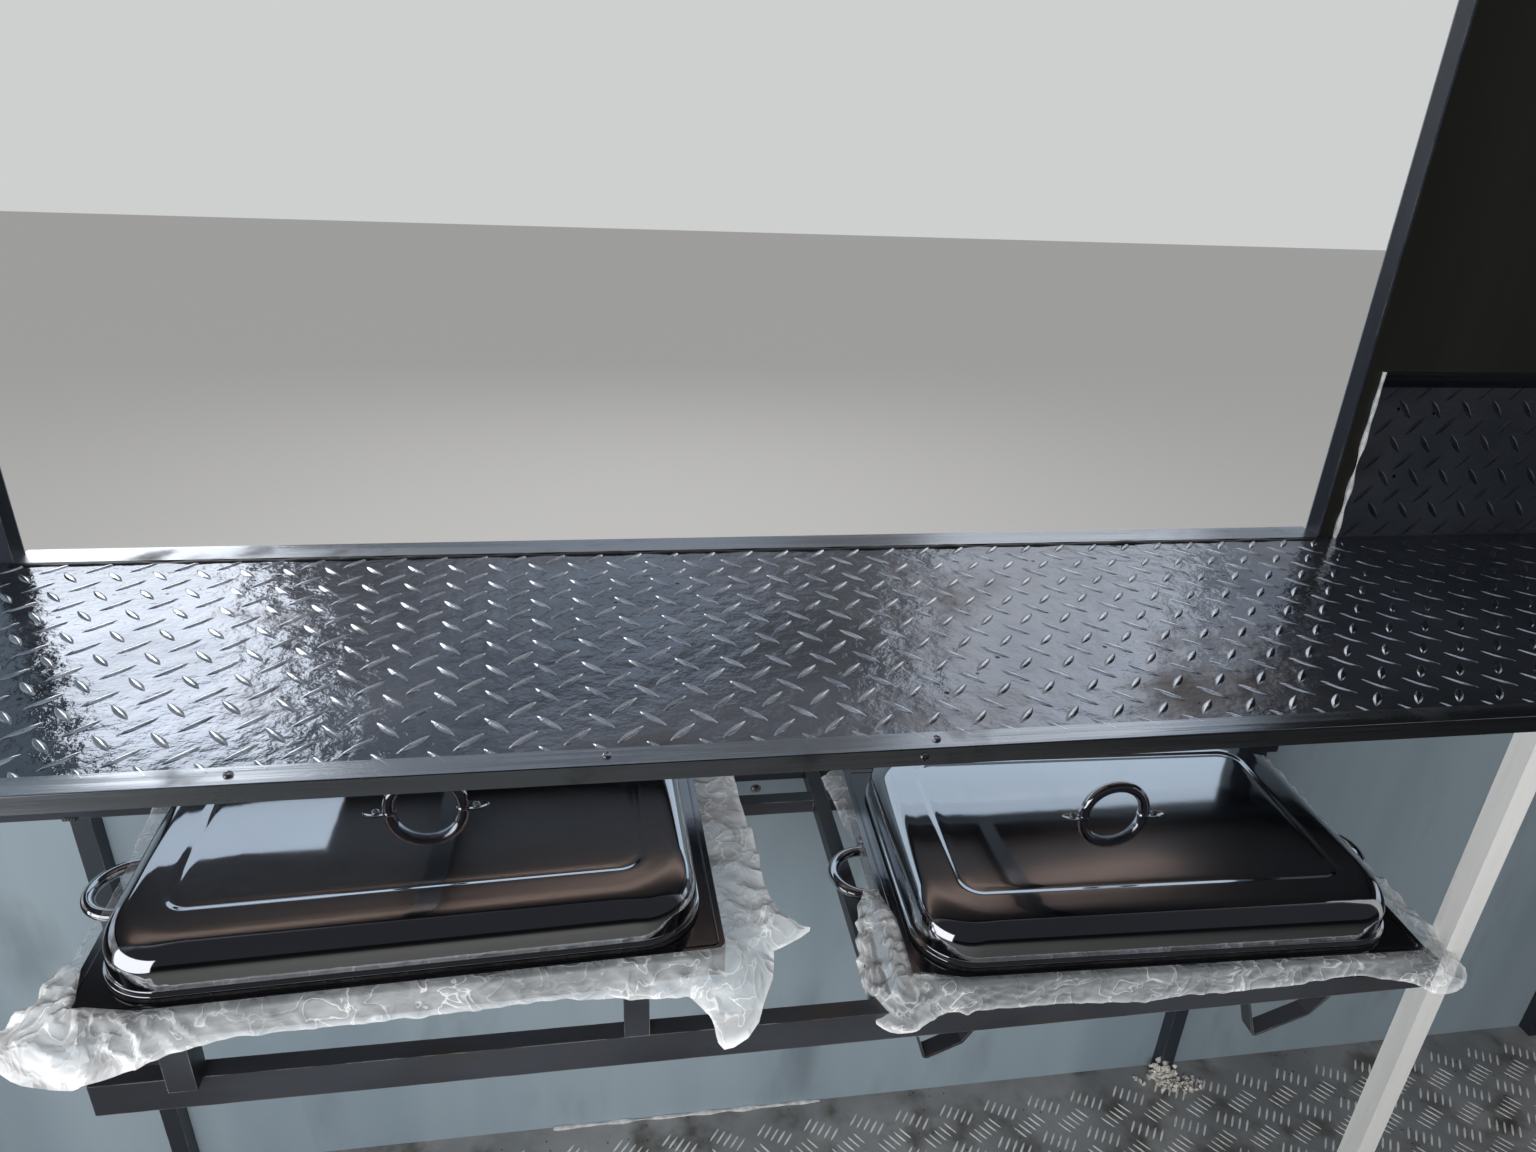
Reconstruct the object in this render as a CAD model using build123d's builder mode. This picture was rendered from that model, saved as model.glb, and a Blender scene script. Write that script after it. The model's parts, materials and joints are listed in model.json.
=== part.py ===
from build123d import *
import math
import os

# Serving bay of a catering trailer, seen from inside: side wall with its hatch, chequer-plate
# counter, steel rack with two chafing dishes, and the strip of floor that carries it.
# +X runs along the wall to the right, +Y out through the wall, +Z up. Millimetres.
# The origin is at the middle of the footprint, on the ground under the floor rails.

# Sections and sheets
TUBE = 25.0
TUBE_WALL = 1.6
SLIM = 19.0
SLIM_WALL = 1.6
FLOOR_RAIL = 50.0
FLOOR_RAIL_WALL = 3.0
FLOOR_PLATE = 3.0
SKIN = 1.5
CHEQUER = 2.0
TRIM = 1.5
TRIM_ROUND = 1.2

# The bay
BAY_LENGTH = 2750.0
LEFT_RUN = 250.0
FLOOR_REACH = 620.0
WALL_HEIGHT = 2050.0
SKIN_DROP = 30.0
CROSS_MEMBERS = 5

# Hatch in the side wall
LEFT_MARGIN = 21.0
HATCH_WIDTH = 1644.0
HATCH_HEADROOM = 125.0

# Counter
COUNTER_HEIGHT = 1078.0
COUNTER_DEPTH = 476.0
COUNTER_BEARERS = 4
BEARER_PITCH = 749.0
FRONT_TUBE_INSET = 8.0
FRONT_ANGLE = 25.0
FRONT_ANGLE_DROP = 18.0
SILL_INNER = 30.0
SILL_OVERHANG = 8.0
SILL_LEG = 20.0
PLATE_GAP = 1.5

# Lining and splashback right of the hatch
SPLASH_HEIGHT = 222.0
SPLASH_CAP_LEG = 10.0
SPLASH_INSET = 3.0
LINING = 1.2

# Front posts and rack
RIGHT_POST_X = 1624.0
RACK_DROP = 323.0
RACK_RAIL_HEIGHT = 38.0
RACK_LEFT_END = 238.0
LEDGER_HEIGHT = 25.0
MIDDLE_RAIL_X = 978.0
RIGHT_RAIL_X = 1562.0
STRAP_WIDTH = 19.0
STRAP_THICK = 3.0
STRAP_BEND = 6.0

# Chafing dishes
LEFT_DISH_X = 523.0
LEFT_DISH_TURN = 2.0
RIGHT_DISH_X = 1302.0
RIGHT_DISH_TURN = -2.0
STUB_HEIGHT = 66.0
STUB_SPACING = 409.0
STUB_INSET = 8.0
SHEET = 1.2
RIM_LENGTH = 582.0
RIM_DEPTH = 362.0
RIM_OVERHANG = 3.0
RIM_CORNER = 6.0
LIP_HEIGHT = 32.0
TUB_LENGTH = 500.0
TUB_DEPTH = 300.0
TUB_DROP = 68.0
TUB_CORNER = 45.0
FOOD_TAPER = 4.0
FOOD_CLEARANCE = 4.0
FOOD_DROP = 60.0
FOOD_FLANGE = 13.0
SEAL_HEIGHT = 4.0
SEAL_WIDTH = 7.0
LID_LENGTH = 545.0
LID_DEPTH = 345.0
LID_CORNER = 62.0
LID_SKIRT = 4.0
LID_COVE = 3.0
LID_HEIGHT = 50.0
LID_DOME_CORNER = 59.0
LID_SHOULDER = 15.0
LID_OUTER_FLATS = 3
LID_INNER_FLATS = 2

# Handles, one form on lids and pans
HANDLE_RADIUS = 33.5
HANDLE_TUBE = 5.5
HANDLE_FLATS = 8
HANDLE_RISE = 9.0
LUG_LENGTH = 33.0
LUG_WIDTH = 16.0
LUG_THICK = 2.0

# Loose protective film, plain here
FILM = 1.0
FILM_GAP = 0.4

# Places worked out from the sizes above
LEFT = -BAY_LENGTH / 2
RIGHT = BAY_LENGTH / 2
DATUM = LEFT + LEFT_RUN
WALL_IN = (FLOOR_REACH - SILL_OVERHANG) / 2
FLOOR_IN = WALL_IN - FLOOR_REACH
FLOOR_TOP = FLOOR_RAIL + FLOOR_PLATE
WALL_TOP = FLOOR_TOP + WALL_HEIGHT
POST_FACE = WALL_IN - TUBE
COUNTER_TOP = FLOOR_TOP + COUNTER_HEIGHT
BEARER_TOP = COUNTER_TOP - CHEQUER
FRONT = WALL_IN - COUNTER_DEPTH
LEFT_POST = DATUM + LEFT_MARGIN
HATCH_LEFT = LEFT_POST + TUBE
HATCH_RIGHT = HATCH_LEFT + HATCH_WIDTH
HATCH_TOP = WALL_TOP - HATCH_HEADROOM
RACK_TOP = COUNTER_TOP - RACK_DROP
DISH_Y = FRONT - RIM_OVERHANG + RIM_DEPTH / 2
REAR_RAIL_Y = DISH_Y + RIM_DEPTH / 2
LEDGER_FACE = POST_FACE - SLIM

os.makedirs("parts", exist_ok=True)


def bay_x(distance):
    """Place along the bay, measured from the datum near the hatch's left edge."""
    return DATUM + distance


def dish_plane(dish_x, turn, height):
    """Level plane at the middle of a dish, its x axis along the dish, turned by some degrees."""
    way = math.radians(turn)
    return Plane(origin=(dish_x, DISH_Y, height), x_dir=(math.cos(way), math.sin(way), 0))


def hollow_bar(along, start, length, across, height, wall):
    """Square or oblong tube. start is the middle of its first end, along is X, Y or Z."""
    planes = {
        "X": Plane(origin=start, x_dir=(0, 1, 0), z_dir=(1, 0, 0)),
        "Y": Plane(origin=start, x_dir=(-1, 0, 0), z_dir=(0, 1, 0)),
        "Z": Plane(origin=start, x_dir=(1, 0, 0), z_dir=(0, 0, 1)),
    }
    with BuildPart() as bar:
        with BuildSketch(planes[along]):
            Rectangle(across, height)
            Rectangle(across - 2 * wall, height - 2 * wall, mode=Mode.SUBTRACT)
        extrude(amount=length)
    return bar.part


def panel(low, high):
    """Flat sheet or block between two corners."""
    size = [b - a for a, b in zip(low, high)]
    middle = [(a + b) / 2 for a, b in zip(low, high)]
    with BuildPart() as sheet:
        with Locations(tuple(middle)):
            Box(*size)
    return sheet.part


def keep(solids, name):
    """Write one node from one or more finished solids."""
    with BuildPart() as node:
        add(solids)
    node.part.label = name
    export_step(node.part, f"parts/{name}.step")


# Floor: two long rails, cross members between them and the tread plate on top
rail_mid_z = FLOOR_RAIL / 2
outer_rail_y = WALL_IN - FLOOR_RAIL / 2
inner_rail_y = FLOOR_IN + FLOOR_RAIL / 2
for name, rail_y in (("floor_rail_outer", outer_rail_y), ("floor_rail_inner", inner_rail_y)):
    start = (LEFT, rail_y, rail_mid_z)
    keep(hollow_bar("X", start, BAY_LENGTH, FLOOR_RAIL, FLOOR_RAIL, FLOOR_RAIL_WALL), name)

member_pitch = (BAY_LENGTH - FLOOR_RAIL) / (CROSS_MEMBERS - 1)
member_start = FLOOR_IN + FLOOR_RAIL
member_length = FLOOR_REACH - 2 * FLOOR_RAIL
members = []
for index in range(CROSS_MEMBERS):
    member_x = LEFT + FLOOR_RAIL / 2 + index * member_pitch
    start = (member_x, member_start, rail_mid_z)
    members.append(hollow_bar("Y", start, member_length, FLOOR_RAIL, FLOOR_RAIL, FLOOR_RAIL_WALL))
keep(members, "floor_cross_members")
keep(panel((LEFT, FLOOR_IN, FLOOR_RAIL), (RIGHT, WALL_IN, FLOOR_TOP)), "floor_tread_plate")

# Wall frame: posts from floor to top rail, rails between them
right_post_x = HATCH_RIGHT
end_post_x = RIGHT - TUBE
post_length = WALL_TOP - TUBE - FLOOR_TOP
post_y = WALL_IN - TUBE / 2
for name, post_x in (("post_left", LEFT_POST), ("post_right", right_post_x), ("post_end", end_post_x)):
    start = (post_x + TUBE / 2, post_y, FLOOR_TOP)
    keep(hollow_bar("Z", start, post_length, TUBE, TUBE, TUBE_WALL), name)

keep(hollow_bar("X", (LEFT, post_y, WALL_TOP - TUBE / 2), BAY_LENGTH, TUBE, TUBE, TUBE_WALL), "top_rail")
head_start = (HATCH_LEFT, post_y, HATCH_TOP + TUBE / 2)
keep(hollow_bar("X", head_start, HATCH_WIDTH, TUBE, TUBE, TUBE_WALL), "hatch_head_rail")
sill_start = (HATCH_LEFT, post_y, COUNTER_TOP - TUBE / 2)
keep(hollow_bar("X", sill_start, HATCH_WIDTH, TUBE, TUBE, TUBE_WALL), "hatch_sill_rail")

# Outer skin, in the four sheets that frame the hatch
skin_out = WALL_IN + SKIN
skin_bottom = FLOOR_TOP - SKIN_DROP
skins = (
    # name, left, right, bottom, top
    ("skin_lower", LEFT, RIGHT, skin_bottom, COUNTER_TOP),
    ("skin_left", LEFT, HATCH_LEFT, COUNTER_TOP, WALL_TOP),
    ("skin_right", HATCH_RIGHT, RIGHT, COUNTER_TOP, WALL_TOP),
    ("skin_header", HATCH_LEFT, HATCH_RIGHT, HATCH_TOP, WALL_TOP),
)
for name, x0, x1, z0, z1 in skins:
    keep(panel((x0, WALL_IN, z0), (x1, skin_out, z1)), name)

# Sill strip: a flat over the plate's back edge and the wall, with a leg down outside
with BuildPart() as sill_strip:
    with BuildSketch(Plane(origin=(HATCH_LEFT, WALL_IN, COUNTER_TOP), x_dir=(0, 1, 0), z_dir=(1, 0, 0))):
        with BuildLine():
            Polyline(
                (-SILL_INNER, 0),
                (SILL_OVERHANG - TRIM, 0),
                (SILL_OVERHANG - TRIM, -SILL_LEG),
                (SILL_OVERHANG, -SILL_LEG),
                (SILL_OVERHANG, TRIM),
                (-SILL_INNER, TRIM),
                close=True,
            )
        make_face()
    extrude(amount=HATCH_WIDTH)
sill_strip.part.label = "sill_strip"
export_step(sill_strip.part, "parts/sill_strip.step")

# Counter: front tube, wall ledger, cross bearers, chequer plate and front angle
front_tube_y = FRONT + FRONT_TUBE_INSET + SLIM / 2
front_tube_start = (LEFT, front_tube_y, BEARER_TOP - SLIM / 2)
keep(hollow_bar("X", front_tube_start, BAY_LENGTH, SLIM, SLIM, SLIM_WALL), "counter_front_tube")
bearer_z = BEARER_TOP - TUBE / 2
ledger_start = (LEFT, POST_FACE - TUBE / 2, bearer_z)
keep(hollow_bar("X", ledger_start, BAY_LENGTH, TUBE, TUBE, TUBE_WALL), "counter_ledger")
bearer_start = front_tube_y + SLIM / 2
bearer_length = POST_FACE - TUBE - bearer_start
bearer_places = [LEFT + TUBE / 2 + index * BEARER_PITCH for index in range(COUNTER_BEARERS)]
bearer_places.append(RIGHT - TUBE / 2)
bearers = []
for bearer_x in bearer_places:
    start = (bearer_x, bearer_start, bearer_z)
    bearers.append(hollow_bar("Y", start, bearer_length, TUBE, TUBE, TUBE_WALL))
keep(bearers, "counter_cross_bearers")
plate_back = POST_FACE - PLATE_GAP
keep(panel((LEFT, FRONT, BEARER_TOP), (RIGHT, plate_back, COUNTER_TOP)), "counter_chequer_plate")

with BuildPart() as front_angle:
    with BuildSketch(Plane(origin=(LEFT, FRONT, COUNTER_TOP), x_dir=(0, 1, 0), z_dir=(1, 0, 0))):
        with BuildLine():
            Polyline(
                (FRONT_ANGLE - TRIM, 0),
                (0, 0),
                (0, TRIM - FRONT_ANGLE_DROP),
                (-TRIM, TRIM - FRONT_ANGLE_DROP),
                (-TRIM, TRIM),
                (FRONT_ANGLE - TRIM, TRIM),
                close=True,
            )
        make_face()
    extrude(amount=BAY_LENGTH)
    outer_edge = front_angle.edges().filter_by(Axis.X).sort_by(lambda e: e.center().Z - e.center().Y)[-1]
    fillet(outer_edge, radius=TRIM_ROUND)
front_angle.part.label = "counter_front_angle"
export_step(front_angle.part, "parts/counter_front_angle.step")

# Lining and splashback right of the hatch, on the faces of the posts
lining_face = POST_FACE - LINING
lining_left = HATCH_RIGHT + SPLASH_INSET
splash_top = COUNTER_TOP + SPLASH_HEIGHT
keep(panel((lining_left, lining_face, COUNTER_TOP), (RIGHT, POST_FACE, WALL_TOP)), "lining_right")
splash_face = lining_face - CHEQUER
splash_left = HATCH_RIGHT + TUBE
keep(panel((splash_left, splash_face, COUNTER_TOP), (RIGHT, lining_face, splash_top)), "splashback")
with BuildPart() as splash_cap:
    cap_start = (splash_left, lining_face, splash_top)
    with BuildSketch(Plane(origin=cap_start, x_dir=(0, 1, 0), z_dir=(1, 0, 0))):
        with BuildLine():
            Polyline(
                (0, 0),
                (-CHEQUER, 0),
                (-CHEQUER, -SPLASH_CAP_LEG),
                (-CHEQUER - TRIM, -SPLASH_CAP_LEG),
                (-CHEQUER - TRIM, TRIM),
                (-TRIM, TRIM),
                (-TRIM, SPLASH_CAP_LEG),
                (0, SPLASH_CAP_LEG),
                close=True,
            )
        make_face()
    extrude(amount=RIGHT - splash_left)
splash_cap.part.label = "splashback_cap"
export_step(splash_cap.part, "parts/splashback_cap.step")

# Front posts between floor and counter
front_post_length = BEARER_TOP - SLIM - FLOOR_TOP
for name, post_x in (("front_post_left", LEFT), ("front_post_right", bay_x(RIGHT_POST_X))):
    start = (post_x + TUBE / 2, FRONT + TUBE / 2, FLOOR_TOP)
    keep(hollow_bar("Z", start, front_post_length, TUBE, TUBE, TUBE_WALL), name)

# Rack: deep front rail, wall ledger, cross rails and the rear rails between them
rack_left = bay_x(RACK_LEFT_END)
rack_rail_length = RIGHT_POST_X - RACK_LEFT_END
front_rail_start = (rack_left, FRONT + SLIM / 2, RACK_TOP - RACK_RAIL_HEIGHT / 2)
rack_front_rail = hollow_bar("X", front_rail_start, rack_rail_length, SLIM, RACK_RAIL_HEIGHT, SLIM_WALL)
keep(rack_front_rail, "rack_front_rail")
rack_ledger_start = (LEFT, POST_FACE - SLIM / 2, RACK_TOP - LEDGER_HEIGHT / 2)
rack_ledger_length = right_post_x + TUBE - LEFT
rack_ledger = hollow_bar("X", rack_ledger_start, rack_ledger_length, SLIM, LEDGER_HEIGHT, SLIM_WALL)
keep(rack_ledger, "rack_wall_ledger")

slim_z = RACK_TOP - SLIM / 2
cross_left_edges = [rack_left, bay_x(MIDDLE_RAIL_X), bay_x(RIGHT_RAIL_X)]
cross_start = FRONT + SLIM
cross_length = LEDGER_FACE - cross_start
cross_rails = []
for left_edge in cross_left_edges:
    start = (left_edge + SLIM / 2, cross_start, slim_z)
    cross_rails.append(hollow_bar("Y", start, cross_length, SLIM, SLIM, SLIM_WALL))
keep(cross_rails, "rack_cross_rails")

rear_rails = []
for left_edge, next_edge in zip(cross_left_edges, cross_left_edges[1:]):
    rear_start = (left_edge + SLIM, REAR_RAIL_Y, slim_z)
    rear_rails.append(hollow_bar("X", rear_start, next_edge - left_edge - SLIM, SLIM, SLIM, SLIM_WALL))
keep(rear_rails, "rack_rear_rails")

# Upright stubs that lift the left dish clear of the rack, under its rim's front and rear edges
left_seat = dish_plane(bay_x(LEFT_DISH_X), LEFT_DISH_TURN, RACK_TOP)
stub_reach = RIM_DEPTH / 2 - STUB_INSET
stubs = []
for side in (-1, 1):
    for way in (-1, 1):
        start = left_seat.from_local_coords((side * STUB_SPACING / 2, way * stub_reach, 0))
        stubs.append(hollow_bar("Z", start, STUB_HEIGHT, TUBE, TUBE, TUBE_WALL))
keep(stubs, "dish_stubs")

# Bent flat straps under the front rail, below the right dish. Their tops are trimmed at the rail.
straps = (
    # left top, left bottom, right bottom, right top, left drop, right drop
    (1020.0, 1033.0, 1074.0, 1086.0, 37.0, 17.0),
    (1398.0, 1418.0, 1480.0, 1503.0, 54.0, 27.0),
)
strap_solids = []
rail_bottom = RACK_TOP - RACK_RAIL_HEIGHT
for x_a, x_b, x_c, x_d, drop_left, drop_right in straps:
    with BuildPart() as strap:
        with BuildSketch(Plane(origin=(DATUM, FRONT, rail_bottom), x_dir=(1, 0, 0), z_dir=(0, -1, 0))):
            with BuildLine():
                FilletPolyline(
                    (x_a, STRAP_THICK),
                    (x_b, -drop_left),
                    (x_c, -drop_right),
                    (x_d, STRAP_THICK),
                    radius=STRAP_BEND,
                )
                offset(amount=STRAP_THICK, side=Side.LEFT)
            make_face()
            with Locations((x_a, 0)):
                Rectangle(
                    BAY_LENGTH, RACK_RAIL_HEIGHT, align=(Align.CENTER, Align.MIN), mode=Mode.SUBTRACT
                )
        extrude(amount=-STRAP_WIDTH)
    strap_solids.append(strap.part)
keep(strap_solids, "rack_straps")


def handle(plane):
    """Half ring of bar on short legs, with a flat lug beside each foot. The bar is drawn with flats.

    The plane's origin is the middle of the seat, its x axis runs from foot to foot and
    its normal points away from the seat.
    """
    feet = ((-HANDLE_RADIUS, 0), (HANDLE_RADIUS, 0))
    turn = Axis(plane.from_local_coords((0, 0, HANDLE_RISE)), plane.y_dir)
    with BuildPart() as bar:
        with BuildSketch(plane.offset(HANDLE_RISE)):
            with Locations(feet[0]):
                RegularPolygon(HANDLE_TUBE, HANDLE_FLATS)
        revolve(axis=turn, revolution_arc=180)
        with BuildSketch(plane.offset(LUG_THICK)):
            with Locations(*feet):
                RegularPolygon(HANDLE_TUBE, HANDLE_FLATS)
        extrude(amount=HANDLE_RISE - LUG_THICK)
        lug_middle = HANDLE_RADIUS + LUG_LENGTH / 2 - HANDLE_TUBE
        with BuildSketch(plane):
            with Locations((-lug_middle, 0), (lug_middle, 0)):
                SlotOverall(LUG_LENGTH, LUG_WIDTH)
        extrude(amount=LUG_THICK)
    return bar.part


def tray(plane, length, depth, drop, corner, taper, flange_length, flange_depth, flange_corner, lip):
    """Open sheet tray: a flat flange, a tub hung below it and a lip turned down at its edge.

    The plane lies on the flange's underside, in the middle.
    """
    with BuildPart() as sheet:
        with BuildSketch(plane):
            RectangleRounded(flange_length, flange_depth, flange_corner)
        extrude(amount=SHEET)
        with BuildSketch(plane):
            RectangleRounded(length, depth, corner)
        extrude(amount=-drop, taper=taper)
        with BuildSketch(plane.offset(SHEET)):
            RectangleRounded(length - 2 * SHEET, depth - 2 * SHEET, corner - SHEET)
        extrude(amount=-drop, taper=taper, mode=Mode.SUBTRACT)
        if lip > SHEET:
            with BuildSketch(plane):
                RectangleRounded(flange_length, flange_depth, flange_corner)
                RectangleRounded(
                    flange_length - 2 * SHEET,
                    flange_depth - 2 * SHEET,
                    flange_corner - SHEET,
                    mode=Mode.SUBTRACT,
                )
            extrude(amount=-lip)
    return sheet.part


def lid_form(plane, inset, flats):
    """Outer form of the lid, or its hollow when inset is the wall: skirt, cove and dome.

    The dome's shoulder is a quarter round drawn with that many flats, each a tapered step.
    """
    shoulder = LID_SHOULDER - inset
    with BuildPart() as form:
        with BuildSketch(plane):
            RectangleRounded(LID_LENGTH - 2 * inset, LID_DEPTH - 2 * inset, LID_CORNER - inset)
        extrude(amount=LID_SKIRT - inset)
        dome_length = LID_LENGTH - 2 * LID_COVE - 2 * inset
        dome_depth = LID_DEPTH - 2 * LID_COVE - 2 * inset
        with BuildSketch(plane):
            RectangleRounded(dome_length, dome_depth, LID_DOME_CORNER - inset)
        extrude(amount=LID_HEIGHT - inset - shoulder)
        turns = [math.pi / 2 * step / flats for step in range(flats + 1)]
        for low, high in zip(turns, turns[1:]):
            rise = shoulder * (math.sin(high) - math.sin(low))
            slope = math.degrees((low + high) / 2)
            extrude(form.faces().sort_by(Axis.Z)[-1], amount=rise, taper=slope)
    return form.part


dishes = (
    # name, middle along the bay, turn in degrees, height of the rim's seat
    ("left", bay_x(LEFT_DISH_X), LEFT_DISH_TURN, RACK_TOP + STUB_HEIGHT),
    ("right", bay_x(RIGHT_DISH_X), RIGHT_DISH_TURN, RACK_TOP),
)
for side, dish_x, turn, seat_z in dishes:
    rim_plane = dish_plane(dish_x, turn, seat_z + LIP_HEIGHT - SHEET)
    water_pan = tray(
        rim_plane,
        TUB_LENGTH,
        TUB_DEPTH,
        TUB_DROP,
        TUB_CORNER,
        0,
        RIM_LENGTH,
        RIM_DEPTH,
        RIM_CORNER,
        LIP_HEIGHT - SHEET,
    )
    keep(water_pan, f"water_pan_{side}")

    food_length = TUB_LENGTH - 2 * SHEET - 2 * FOOD_CLEARANCE
    food_depth = TUB_DEPTH - 2 * SHEET - 2 * FOOD_CLEARANCE
    rim_top_plane = rim_plane.offset(SHEET)
    food_pan = tray(
        rim_top_plane,
        food_length,
        food_depth,
        FOOD_DROP,
        TUB_CORNER - FOOD_CLEARANCE,
        FOOD_TAPER,
        food_length + 2 * FOOD_FLANGE,
        food_depth + 2 * FOOD_FLANGE,
        TUB_CORNER,
        0,
    )
    keep(food_pan, f"food_pan_{side}")

    with BuildPart() as seal:
        with BuildSketch(rim_top_plane):
            RectangleRounded(LID_LENGTH, LID_DEPTH, LID_CORNER)
            RectangleRounded(
                LID_LENGTH - 2 * SEAL_WIDTH,
                LID_DEPTH - 2 * SEAL_WIDTH,
                LID_CORNER - SEAL_WIDTH,
                mode=Mode.SUBTRACT,
            )
        extrude(amount=SEAL_HEIGHT)
    keep(seal.part, f"lid_seal_{side}")

    lid_plane = rim_top_plane.offset(SEAL_HEIGHT)
    with BuildPart() as lid:
        add(lid_form(lid_plane, 0, LID_OUTER_FLATS))
        add(lid_form(lid_plane, SHEET, LID_INNER_FLATS), mode=Mode.SUBTRACT)
    keep(lid.part, f"lid_{side}")
    keep(handle(lid_plane.offset(LID_HEIGHT)), f"lid_handle_{side}")

    grips = []
    for way in (-1, 1):
        seat = rim_plane.from_local_coords((way * RIM_LENGTH / 2, 0, SHEET - LIP_HEIGHT / 2))
        grips.append(handle(Plane(origin=seat, x_dir=rim_plane.y_dir, z_dir=rim_plane.x_dir * way)))
    keep(grips, f"pan_grips_{side}")

# Protective film round the rims: a skirt at the front, strips on the side margins
strip_width = (RIM_LENGTH - LID_LENGTH) / 2 - 2 * FILM_GAP
strip_middle = (RIM_LENGTH - strip_width) / 2 - FILM_GAP
skirt_middle = -RIM_DEPTH / 2 - FILM_GAP - FILM / 2
for side, dish_x, turn, seat_z in dishes:
    with BuildPart() as film:
        with BuildSketch(dish_plane(dish_x, turn, seat_z + FILM)):
            with Locations((0, skirt_middle)):
                Rectangle(RIM_LENGTH, FILM)
        extrude(amount=LIP_HEIGHT)
        with BuildSketch(dish_plane(dish_x, turn, seat_z + LIP_HEIGHT + FILM_GAP)):
            with Locations((-strip_middle, 0), (strip_middle, 0)):
                Rectangle(strip_width, RIM_DEPTH)
        extrude(amount=FILM)
    film.part.label = f"film_{side}"
    export_step(film.part, f"parts/film_{side}.step")
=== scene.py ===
"""Serving bay of a catering trailer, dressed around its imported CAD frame. Metres, +Z up."""

import math

import bmesh
import bpy
import numpy as np
from mathutils import Matrix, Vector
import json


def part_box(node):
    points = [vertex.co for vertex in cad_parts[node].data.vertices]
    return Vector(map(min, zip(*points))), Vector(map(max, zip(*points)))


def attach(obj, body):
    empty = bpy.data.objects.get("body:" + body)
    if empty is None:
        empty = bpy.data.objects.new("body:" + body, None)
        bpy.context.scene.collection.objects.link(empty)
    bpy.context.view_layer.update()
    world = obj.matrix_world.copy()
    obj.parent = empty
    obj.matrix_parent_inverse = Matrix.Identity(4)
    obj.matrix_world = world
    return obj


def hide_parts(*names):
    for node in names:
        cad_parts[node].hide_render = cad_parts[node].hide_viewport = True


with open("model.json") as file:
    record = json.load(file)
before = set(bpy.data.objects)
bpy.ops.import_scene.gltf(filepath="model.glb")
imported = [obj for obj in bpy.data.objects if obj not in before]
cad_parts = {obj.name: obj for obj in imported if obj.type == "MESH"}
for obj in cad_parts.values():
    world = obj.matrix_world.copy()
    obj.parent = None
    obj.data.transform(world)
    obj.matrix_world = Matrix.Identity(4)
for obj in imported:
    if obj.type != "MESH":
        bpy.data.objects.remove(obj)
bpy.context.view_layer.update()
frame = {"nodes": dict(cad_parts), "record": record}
nodes = frame["nodes"]
MM = 0.001
ALONG = (1, 0, 0)
INWARDS = (0, -1, 0)
UP = (0, 0, 1)

# Driving sizes, taken from the frame
plate_low, plate_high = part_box("counter_chequer_plate")
angle_low, angle_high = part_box("counter_front_angle")
sill_low, sill_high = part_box("sill_strip")
splash_low, splash_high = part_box("splashback")
floor_low, floor_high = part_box("floor_tread_plate")
left_post_low, left_post_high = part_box("post_left")
right_post_low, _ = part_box("post_right")
rail_low, rail_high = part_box("rack_front_rail")
ledger_low, ledger_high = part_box("rack_wall_ledger")
rear_low, rear_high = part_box("rack_rear_rails")
DATUM_X = plate_low.x + 0.25

# Camera, standing inside the bay at the photograph's place and angle. Its X is from the datum.
CAMERA_PLACE = (DATUM_X + 0.7193, -0.8823, 1.6407)
CAMERA_TURN = -0.17
CAMERA_DIP = 0.436
CAMERA_ROLL = 0.048
CAMERA_LENS = 23.65
SENSOR_WIDTH = 36.0


def new_object(name, data):
    """Object with this data, in the scene."""
    thing = bpy.data.objects.new(name, data)
    bpy.context.scene.collection.objects.link(thing)
    return thing


def frame_of(right, up, back, place):
    """Matrix with three axes for its columns, at a place."""
    matrix = Matrix(np.stack((right, up, back), axis=1).tolist()).to_4x4()
    matrix.translation = place
    return matrix


def place_camera():
    """Camera axes: turn about Z, then dip below the horizon, then roll about the view line."""
    turn, dip, roll = CAMERA_TURN, CAMERA_DIP, CAMERA_ROLL
    forward = np.array((-math.sin(turn) * math.cos(dip), math.cos(turn) * math.cos(dip), -math.sin(dip)))
    level = np.array((math.cos(turn), math.sin(turn), 0.0))
    upright = np.cross(level, forward)
    right = level * math.cos(roll) + upright * math.sin(roll)
    up = -level * math.sin(roll) + upright * math.cos(roll)
    data = bpy.data.cameras.new("camera")
    data.sensor_fit = "HORIZONTAL"
    data.sensor_width = SENSOR_WIDTH
    data.lens = CAMERA_LENS
    data.clip_start = 0.01
    camera = new_object("camera", data)
    camera.matrix_world = frame_of(right, up, -forward, CAMERA_PLACE)
    bpy.context.scene.camera = camera


place_camera()


# Mesh tools
SAME_PLACE = 1e-6
NO_LENGTH = 1e-7


def xyz(x, y, z):
    """Points from their coordinates, which are spread to a common shape."""
    return np.stack(np.broadcast_arrays(x, y, z), axis=-1)


def circle(sides):
    """Angles round a full circle."""
    return np.linspace(0, 2 * math.pi, sides, endpoint=False)


def grid_faces(rows, columns, wrap=False):
    """Quads of a grid stored row by row. With wrap, the last column meets the first."""
    r = np.arange(rows - 1)
    c = np.arange(columns if wrap else columns - 1)
    r, c = np.meshgrid(r, c, indexing="ij")
    near = (c + 1) % columns
    corners = (r * columns + c, r * columns + near, (r + 1) * columns + near, (r + 1) * columns + c)
    return np.stack(corners, axis=-1).reshape(-1, 4)


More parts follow.
